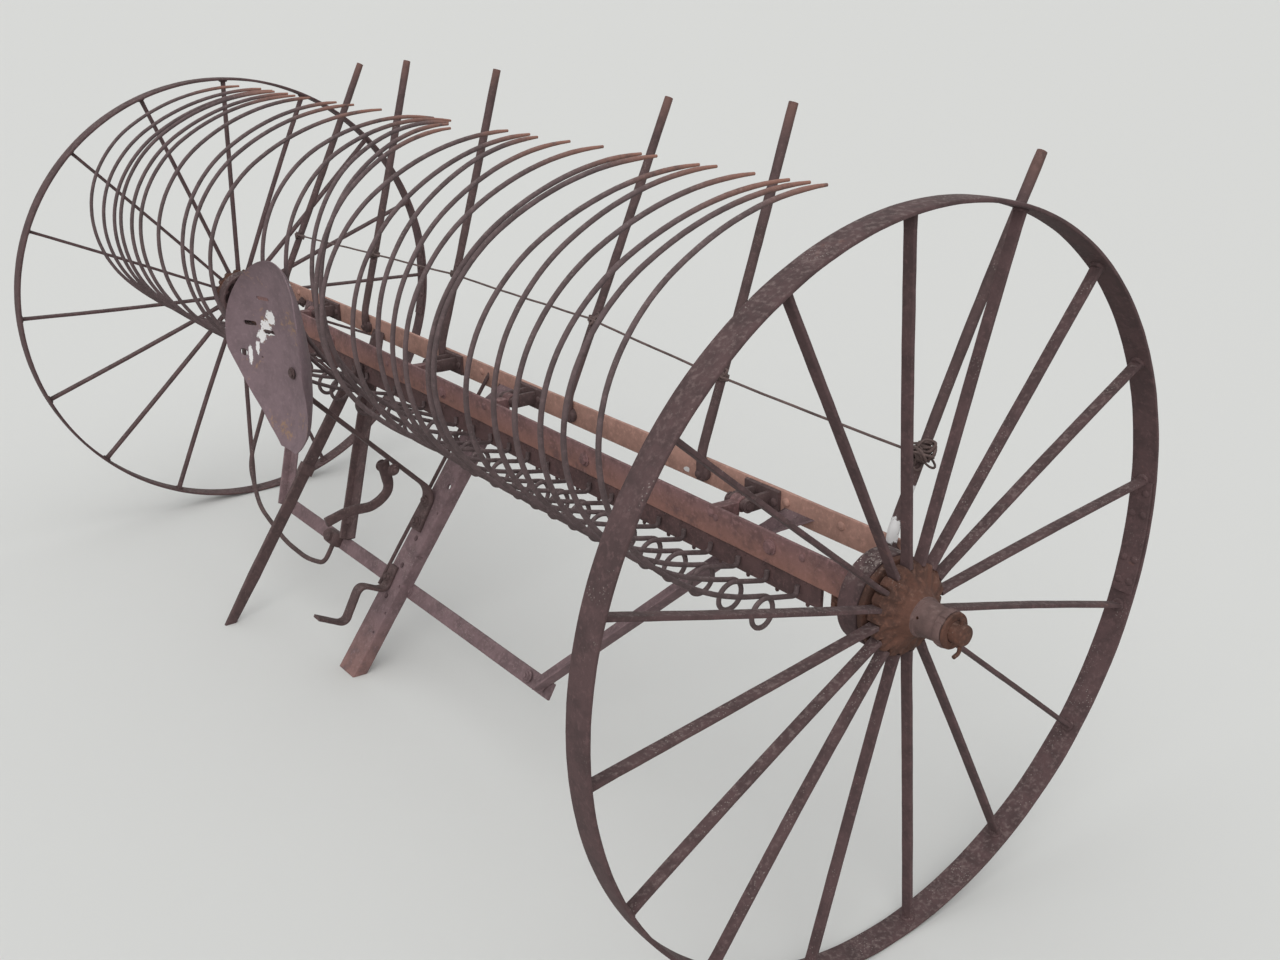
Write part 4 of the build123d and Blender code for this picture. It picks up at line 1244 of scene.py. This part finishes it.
class RAKE_OT_tie_wire(bpy.types.Operator):
    """Make the wire that ties the cleaner rods, with its tangles"""

    bl_idname = "rake.tie_wire"
    bl_label = "Tie wire"

    def execute(self, context):
        wire = context.scene.rake_frame.wire
        form = Form()
        draw = random.Random(3)

        def drawn(high=1):
            """A drawn shift, its last part between -high and high."""
            return Vector((draw.uniform(-1, 1), draw.uniform(-1, 1), draw.uniform(-high, high)))

        stops = []
        for x, side_lean, back_lean, rise in CLEANER_RODS:
            way = rod_way(side_lean, back_lean)
            knot = Vector((x, ROD_FOOT_Y, ROD_BEND_Z)) + way * (rise / way.z)
            front = WIDE.cross(way).normalized()
            side = way.cross(front)
            stops.append(knot + front * 0.0176)
            # The knot of the nearest rod is the big tangle
            big = x > 1
            turns = 3 if big else 4
            line = []
            for step in range(turns * 16 + 1):
                t = step / (turns * 16)
                angle = TAU * turns * t
                reach = front * math.cos(angle) + side * math.sin(angle)
                line.append(knot + reach * 0.0138 + way * (t - 0.5) * 0.014)
            sweep(form, line, circle(wire * 0.95, 7))
            middle = knot + front * 0.014 + side * (0.004 if big else 0.012)
            for _ in range(20 if big else 4):
                tilt = drawn().normalized()
                one = tilt.orthogonal().normalized()
                other = tilt.cross(one)
                wide = draw.uniform(0.014, 0.024) if big else draw.uniform(0.006, 0.011)
                spot = middle + drawn(0.7) * (0.013 if big else 0.006)
                loop = []
                for step in range(20):
                    angle = TAU * step / 20
                    reach = one * math.cos(angle) + other * math.sin(angle) * 0.75
                    loop.append(spot + reach * wide)
                sweep(form, wavered(loop, 0.004, 40), circle(wire * 0.85, 6), loop=True)
            size = 1.0 if big else 0.6
            tail = ((0, 0), (0.02, 0.012), (0.026, 0.028), (0.012, 0.03))
            tail = [middle + (side * a + way * b) * size for a, b in tail]
            sweep(form, line_through(tail, 0.01, 0.004), circle(wire * 0.9, 7))
        for one, other in zip(stops, stops[1:]):
            middle = one.lerp(other, 0.5) + Vector((0, 0.002, -0.004))
            shares = [step / 24 for step in range(25)]
            line = [one.lerp(middle, t).lerp(middle.lerp(other, t), t) for t in shares]
            sweep(form, wavered(line, 0.0015, 9), circle(wire, 8))
        settle(form, "rod_wire", "frame", "wire", "tie_wire", 0.0002, 80, 60)
        return {"FINISHED"}


def frame_bar(form, start, end, outline, trims=(REAR_FACE, None), step=0.04, wave=0.0008):
    """A bar of the frame plane, bolted to the rear angle. Its outline's second axis points off."""
    line = wavered(line_through([start, end], 0.01, step), wave, 5)
    sweep(form, line, outline, face=OUTWARD, trims=trims)
    for place in form.points:
        place.z = min(place.z, BAR_TOP_Z)


class RAKE_OT_legs(bpy.types.Operator):
    """Make the legs, the cross strap and the braces"""

    bl_idname = "rake.legs"
    bl_label = "Legs and braces"

    def execute(self, context):
        sizes = context.scene.rake_frame
        self.near_leg(sizes.leg_width / 2, sizes.leg_depth)

        form = Form()
        thin = [(-0.02, 0), (0.02, 0), (0.02, 0.007)]
        thin += [(-0.013, 0.007), (-0.013, 0.028), (-0.02, 0.028)]
        start, end = on_frame(-0.69, ABOVE_TOP), on_frame(-0.372, 0.541)
        frame_bar(form, start, end, rounded(thin, 0.0018))
        for down in (0.035, 0.5):
            spot = on_frame(-0.66 + 0.5 * down + 0.006, down, 0.007)
            bolt(form, spot, OUTWARD, 0.011, 0.008, down * 9)
        # Painted shade: the far leg takes the darker bar finish instead of the legs' own tint, so
        # it shows darker than the near leg
        settle(form, "far_leg", "frame", "frame_rust", "leg_far", look="bar_iron")

        form = Form()
        strap = flat(sizes.strap_width, 0.008, 0.0022, -0.0083)
        line = line_through([on_frame(-0.8, STRAP_DOWN), on_frame(0.63, STRAP_DOWN)], 0.01)
        sweep(form, wavered(line, 0.0012, 4), strap, face=OUTWARD)
        for x in (-0.77, 0.6, 0.545, -0.02, -0.075):
            spot = on_frame(x, STRAP_DOWN, 0.006 if abs(x) > 0.5 else 0.0)
            bolt(form, spot, OUTWARD, 0.0115, 0.008, x * 7, end=0.004)
        settle(form, "strap", "frame", "frame_rust", "cross_strap")

        for name, way, top, foot in (("near", 1, 1.049, 0.59), ("far", -1, -1.115, -0.765)):
            form = Form()
            lean = (foot - top) / STRAP_DOWN
            edge = way * 0.018
            inside = edge - way * 0.006
            corners = [(-edge, 0), (edge, 0), (edge, 0.03)]
            corners += [(inside, 0.03), (inside, 0.006), (-edge, 0.006)]
            start, end = on_frame(top + ABOVE_TOP * lean, ABOVE_TOP), on_frame(foot, STRAP_DOWN)
            frame_bar(form, start, end, rounded(corners, 0.0016), step=0.03, wave=0.0006)
            spot = on_frame(top + 0.035 * lean, 0.035, 0.006)
            bolt(form, spot, OUTWARD, 0.011, 0.008, 0.4)
            settle(form, name + "_brace", "frame", "frame_rust", "brace_" + name)
        return {"FINISHED"}

    def near_leg(self, half, deep):
        """Make the near leg, a channel whose open side lies on the frame plane, with its holes."""
        wall = 0.007
        drift = 0.13
        channel = [
            (-half, 0), (-half + wall, 0), (-half + wall, deep - wall),
            (half - wall, deep - wall), (half - wall, 0), (half, 0),
            (half, deep), (0, deep + 0.0001), (-half, deep),
        ]
        form = Form()
        start = on_frame(0.02 - ABOVE_TOP * drift, ABOVE_TOP)
        end = on_frame(0.02 - 0.86 * drift, 0.86)
        trims = (REAR_FACE, GROUND)
        frame_bar(form, start, end, rounded(channel, 0.0025), trims, 0.02, 0.0004)
        form.wear = [max(0.0, 1 - place.z / 0.16) * 0.45 for place in form.points]
        leg = settle(form, "near_leg", "frame", "frame_rust", "leg_near", 0.0004, 40)
        holes = Form()
        bolt_holes = ((0.27, 0.007), (0.43, -0.036), (0.51, -0.046), (0.6, -0.058))
        small_holes = ((0.345, 0.008), (0.47, 0.0), (0.56, -0.02), (0.64, -0.03), (0.7, -0.045))
        for radius, sides, places in ((0.008, 20, bolt_holes), (0.004, 14, small_holes)):
            for down, x in places:
                cut = [(-0.02, radius), (0.01, radius)]
                lathe(holes, cut, on_frame(x, down, deep), OUTWARD, sides)
        carve(leg, holes)


class RAKE_OT_irons(bpy.types.Operator):
    """Make the foot lever, the pedal, the casting and the two rods"""

    bl_idname = "rake.irons"
    bl_label = "Small irons"

    def execute(self, context):
        form = Form()
        x = -0.0708
        bends = [(-0.205, 0.56), (-0.19, 0.48), (-0.24, 0.446), (-0.31, 0.452), (-0.371, 0.436)]
        line = line_through([(x - 0.006, y, z) for y, z in bends], 0.026, 0.012)
        swell = [1.0 + 0.25 * max(0.0, 1 - index / 8) for index in range(len(line))]
        sweep(form, line, flat(0.012, 0.024, 0.003), wide=WIDE, sizes=swell)
        bolt(form, (x - 0.013, -0.205, 0.548), (-1, 0, 0), 0.012, 0.009, 0.2)
        bolt(form, (x + 0.052, -0.205, 0.556), (1, 0, 0), 0.012, 0.009, 0.5, end=0.006)
        self.finish(form, "step_lever", "foot_lever", 0.0005, 70)

        form = Form()
        x = -0.07
        points = [on_frame(x, 0.52, 0.0383), on_frame(x, 0.59, 0.0383)]
        points += [(x, -0.3, 0.246), (x, -0.35, 0.15), (x, -0.423, 0.19)]
        sweep(form, line_through(points, 0.024, 0.01), flat(0.034, 0.008, 0.0022), wide=WIDE)
        bolt(form, on_frame(x, 0.555, 0.042), OUTWARD, 0.0125, 0.009, 0.3, end=0.005)
        self.finish(form, "pedal_iron", "pedal", 0.0005, 70)

        form = Form()
        plate = rounded(oblong(-0.03, -0.02, 0.03, 0.02) + [(-0.05, 0)], 0.008, 4)
        layers = ((0.0003, 0.97), (0.003, 1.0), (0.02, 1.0), (0.026, 0.86))
        slab(form, plate, layers, lambda a, b, out: on_frame(LATCH_X + a, STRAP_DOWN + b, out))
        knob = [(0.02, 0.014), (0.034, 0.013), (0.036, 0.011), (0.036, 0.001)]
        lathe(form, knob, on_frame(LATCH_X, STRAP_DOWN), OUTWARD, 24)
        self.finish(form, "latch_block", "latch_casting", 0.0008, 90)

        form = Form()
        x = -1.195
        bends = [(-1.152, 0.33), (-1.098, 0.52), (-0.922, 0.621), (-0.703, 0.66)]
        bends += [(-0.527, 0.66), (LATCH_X, 0.641), (LATCH_X, 0.5833)]
        points = [(x, 0.1117, 0.712), (x, 0.072, 0.712)]
        points += [on_frame(across, down, 0.007) for across, down in bends]
        line = line_through(points, 0.06, 0.02)
        sweep(form, wavered(line[:-3], 0.002, 6) + line[-3:], circle(0.0068))
        bolt(form, (x, 0.1025, 0.712), AHEAD, 0.013, 0.009, 0.2)
        self.finish(form, "bent_iron", "bent_rod", 0.0003, 60)

        form = Form()
        ends = [on_frame(-0.066, ABOVE_TOP, 0.0053), on_frame(-0.151, 0.595, 0.0053)]
        line = wavered(line_through(ends, 0.01), 0.0015, 5)
        sweep(form, line, circle(0.005, 10), trims=(REAR_FACE, None))
        self.finish(form, "trip_iron", "trip_rod", 0.0002, 60)
        return {"FINISHED"}

    def finish(self, form, name, node, roughen, grain):
        """Make one of the dark bars on the frame."""
        settle(form, name, "frame", "frame_rust", node, roughen, grain, look="bar_iron")


# Seat

SEAT = Vector((-0.025, -0.426, 0.888))
SEAT_SIDE_R = 0.33
SEAT_RISE_R = 0.72

# Slots and holes of the pan: place from its middle, half width and half height
PAN_SLOTS = (
    (-0.103, 0.119, 0.02, 0.005),
    (-0.157, 0.053, 0.017, 0.006),
    (-0.106, 0.036, 0.018, 0.0065),
    (-0.182, -0.021, 0.009, 0.009),
    (-0.135, -0.028, 0.003, 0.003),
)


def pan_point(x, z, push=0.0):
    """Point of the pan's hollow face by its offset from the middle."""
    girth = SEAT_SIDE_R - SEAT_RISE_R + math.sqrt(SEAT_RISE_R**2 - z * z)
    depth = math.sqrt(max(girth * girth - x * x, 0.0001))
    return Vector((SEAT.x + x, SEAT.y - SEAT_SIDE_R + depth + push, SEAT.z + z))


def arc(one, middle, two):
    """Points of the circle's arc through three points, without the last one."""
    one, middle, two = Vector(one), Vector(middle), Vector(two)
    across, along = middle - one, two - one
    twice = 2 * (across.x * along.y - across.y * along.x)
    u = (along.y * across.length_squared - across.y * along.length_squared) / twice
    v = (across.x * along.length_squared - along.x * across.length_squared) / twice
    centre = one + Vector((u, v))
    start = one - centre
    turn = start.angle_signed(middle - centre) + (middle - centre).angle_signed(two - centre)
    steps = 34
    points = []
    for step in range(steps):
        now = -turn * step / steps
        cos, sin = math.cos(now), math.sin(now)
        x, y = start.x * cos - start.y * sin, start.x * sin + start.y * cos
        points.append(centre + Vector((x, y)))
    return points


def pan_outline(sizes):
    """The pan's edge seen from the front, as offsets from its middle."""
    half, top, bottom, foot = sizes.half_width, sizes.top, sizes.bottom, sizes.foot
    left, right = (-half, -0.01), (half, -0.01)
    shoulder, hip = top * 0.76, -bottom * 0.66
    edge = arc(left, (-half * 0.66, shoulder), (0, top))
    edge += arc((0, top), (half * 0.66, shoulder), right)
    edge += arc(right, (half * 0.62, hip), (foot, -bottom))
    edge += [Vector((foot * (1 - step / 4), -bottom)) for step in range(8)]
    edge += arc((-foot, -bottom), (-half * 0.62, hip), left)
    return edge


class RAKE_OT_seat(bpy.types.Operator):
    """Make the pressed seat pan and its spring bar"""

    bl_idname = "rake.seat"
    bl_label = "Seat"

    def execute(self, context):
        sizes = context.scene.rake_seat
        form = Form()
        rows = 26
        edge = pan_outline(sizes)
        rims = []
        for push in (0.0, sizes.sheet):
            rings = []
            for row in range(1, rows + 1):
                t = row / rows
                lip = 0.006 * max(0.0, (t - 0.93) / 0.07) ** 2
                ring = []
                for corner in edge:
                    spot = corner * t
                    dent = 0.0015 * noise.noise(Vector((spot.x * 15, spot.y * 15, 0)))
                    ring.append(pan_point(spot.x, spot.y, push + dent - lip))
                rings.append(form.ring(ring))
            form.skin(rings, caps=False)
            form.faces.append(tuple(rings[0]))
            rims.append(rings[-1])
        form.skin(rims, caps=False)
        pan = settle(form, "seat_dish", "frame", "seat_rust", "seat_pan", 0.0003, 25)
        holes = Form()
        for x, z, width, height in PAN_SLOTS:
            outline = rounded(oblong(-width, -height, width, height), height)
            spot = pan_point(x, z)
            sweep(holes, [spot + AHEAD * 0.05, spot + BACK * 0.05], outline, wide=WIDE)
        carve(pan, holes)

        form = Form()
        x = -0.048
        # The bar lies on the near leg, 0.3 mm off it
        seat_on = context.scene.rake_frame.leg_depth + 0.0003
        lift = seat_on + sizes.bar_thick / 2
        back = SEAT.y + 0.0093
        points = [on_frame(x, 0.41, lift), on_frame(x, 0.3, lift)]
        points += [(x, back, 0.796), (x, back, 0.863)]
        bar = flat(sizes.bar_width, sizes.bar_thick, 0.0025)
        sweep(form, line_through(points, 0.04, 0.02), bar, wide=WIDE)
        for down in (0.39, 0.33):
            spot = on_frame(x, down, seat_on + sizes.bar_thick)
            bolt(form, spot, OUTWARD, 0.013, 0.009, down * 9, end=0.005)
        bolt(form, (x, back - 0.016, 0.842), AHEAD, 0.011, 0.006, 0.3)
        look = "bar_iron"
        settle(form, "spring_bar", "frame", "frame_rust", "seat_bar", 0.0004, 45, look=look)
        return {"FINISHED"}


# Stage


def plainly_seen(start):
    """1 for what the camera sees, straight on, in a mirror or through glass."""
    rays = ("Is Camera Ray", "Is Glossy Ray", "Is Transmission Ray")
    straight, mirrored, through = (start.node("ShaderNodeLightPath", {}, {}, ray) for ray in rays)
    return straight.most(mirrored).most(through)


class RAKE_OT_stage(bpy.types.Operator):
    """Make the floor, the lamps, the world and the camera"""

    bl_idname = "rake.stage"
    bl_label = "Stage"

    def execute(self, context):
        scene = context.scene
        scene.view_settings.view_transform = "Standard"
        tint = scene.rake_tints.floor
        mesh = bpy.data.meshes.new("floor")
        reach = 400
        corners = [(x, y, 0) for x, y in oblong(-reach, -reach, reach, reach)]
        mesh.from_pydata(corners, [], [(0, 1, 2, 3)])
        floor = show("floor", mesh)
        material = bpy.data.materials.new("floor_plain")
        material.use_nodes = True
        tree = material.node_tree
        shader = tree.nodes["Principled BSDF"]
        colour = plainly_seen(Shade(tree)).mix(scaled(tint, 0.45), scaled(tint))
        tree.links.new(colour.socket, shader.inputs["Base Color"])
        shader.inputs["Roughness"].default_value = 0.95
        mesh.materials.append(material)

        world = bpy.data.worlds.new("soft_sky")
        scene.world = world
        world.use_nodes = True
        tree = world.node_tree
        sky = tree.nodes["Background"]
        colour = plainly_seen(Shade(tree)).mix([0.72, 0.73, 0.75, 1.0], scaled(tint, 1.05))
        tree.links.new(colour.socket, sky.inputs["Color"])
        sky.inputs["Strength"].default_value = 1.0

        for name, place, power, spread in (
            ("sky_lamp", Vector((1.5, -1.5, 5.0)), 0.5, 60),
            ("side_lamp", Vector((4.0, -4.0, 3.0)), 1.2, 45),
        ):
            lamp = bpy.data.lights.new(name, "SUN")
            lamp.energy = power
            lamp.angle = math.radians(spread)
            hung = show(name, lamp)
            hung.location = place
            hung.rotation_euler = (AXLE - place).to_track_quat("-Z", "Y").to_euler()

        lens = bpy.data.cameras.new("camera")
        lens.sensor_width = 36
        lens.lens = 36.84
        camera = show("camera", lens)
        camera.location = (2.7723, -1.5998, 1.7264)
        camera.rotation_euler = (math.radians(68.61), 0, math.radians(52.06))
        scene.camera = camera
        return {"FINISHED"}


class RAKE_PT_panel(bpy.types.Panel):
    """Lists the sizes, the colours and the steps of the rake"""

    bl_label = "Hay Rake"
    bl_idname = "RAKE_PT_panel"
    bl_space_type = "VIEW_3D"
    bl_region_type = "UI"
    bl_category = "Hay Rake"

    def draw(self, context):
        for name in GROUPS:
            box = self.layout.box()
            box.label(text=GROUPS[name].__doc__)
            group = getattr(context.scene, name)
            for field in group.__annotations__:
                box.prop(group, field)
        for step in STEPS:
            self.layout.operator(step.bl_idname)


GROUPS = {
    "rake_wheel": WheelSizes,
    "rake_teeth": ToothSizes,
    "rake_head": HeadSizes,
    "rake_frame": FrameSizes,
    "rake_seat": SeatSizes,
    "rake_tints": RustTints,
}
STEPS = (
    RAKE_OT_stage,
    RAKE_OT_tyres,
    RAKE_OT_spokes,
    RAKE_OT_hubs,
    RAKE_OT_drums,
    RAKE_OT_spindles,
    RAKE_OT_beam,
    RAKE_OT_teeth,
    RAKE_OT_hinges,
    RAKE_OT_hand_lever,
    RAKE_OT_rear_angle,
    RAKE_OT_cleaner_rods,
    RAKE_OT_tie_wire,
    RAKE_OT_legs,
    RAKE_OT_irons,
    RAKE_OT_seat,
)


def register():
    for group in GROUPS.values():
        bpy.utils.register_class(group)
    for name, group in GROUPS.items():
        setattr(bpy.types.Scene, name, bpy.props.PointerProperty(type=group))
    for step in (*STEPS, RAKE_PT_panel):
        bpy.utils.register_class(step)


def unregister():
    for step in reversed((*STEPS, RAKE_PT_panel)):
        bpy.utils.unregister_class(step)
    for name, group in GROUPS.items():
        delattr(bpy.types.Scene, name)
        bpy.utils.unregister_class(group)


def main():
    register()
    for step in STEPS:
        family, name = step.bl_idname.split(".")
        getattr(getattr(bpy.ops, family), name)()


if __name__ == "__main__":
    main()
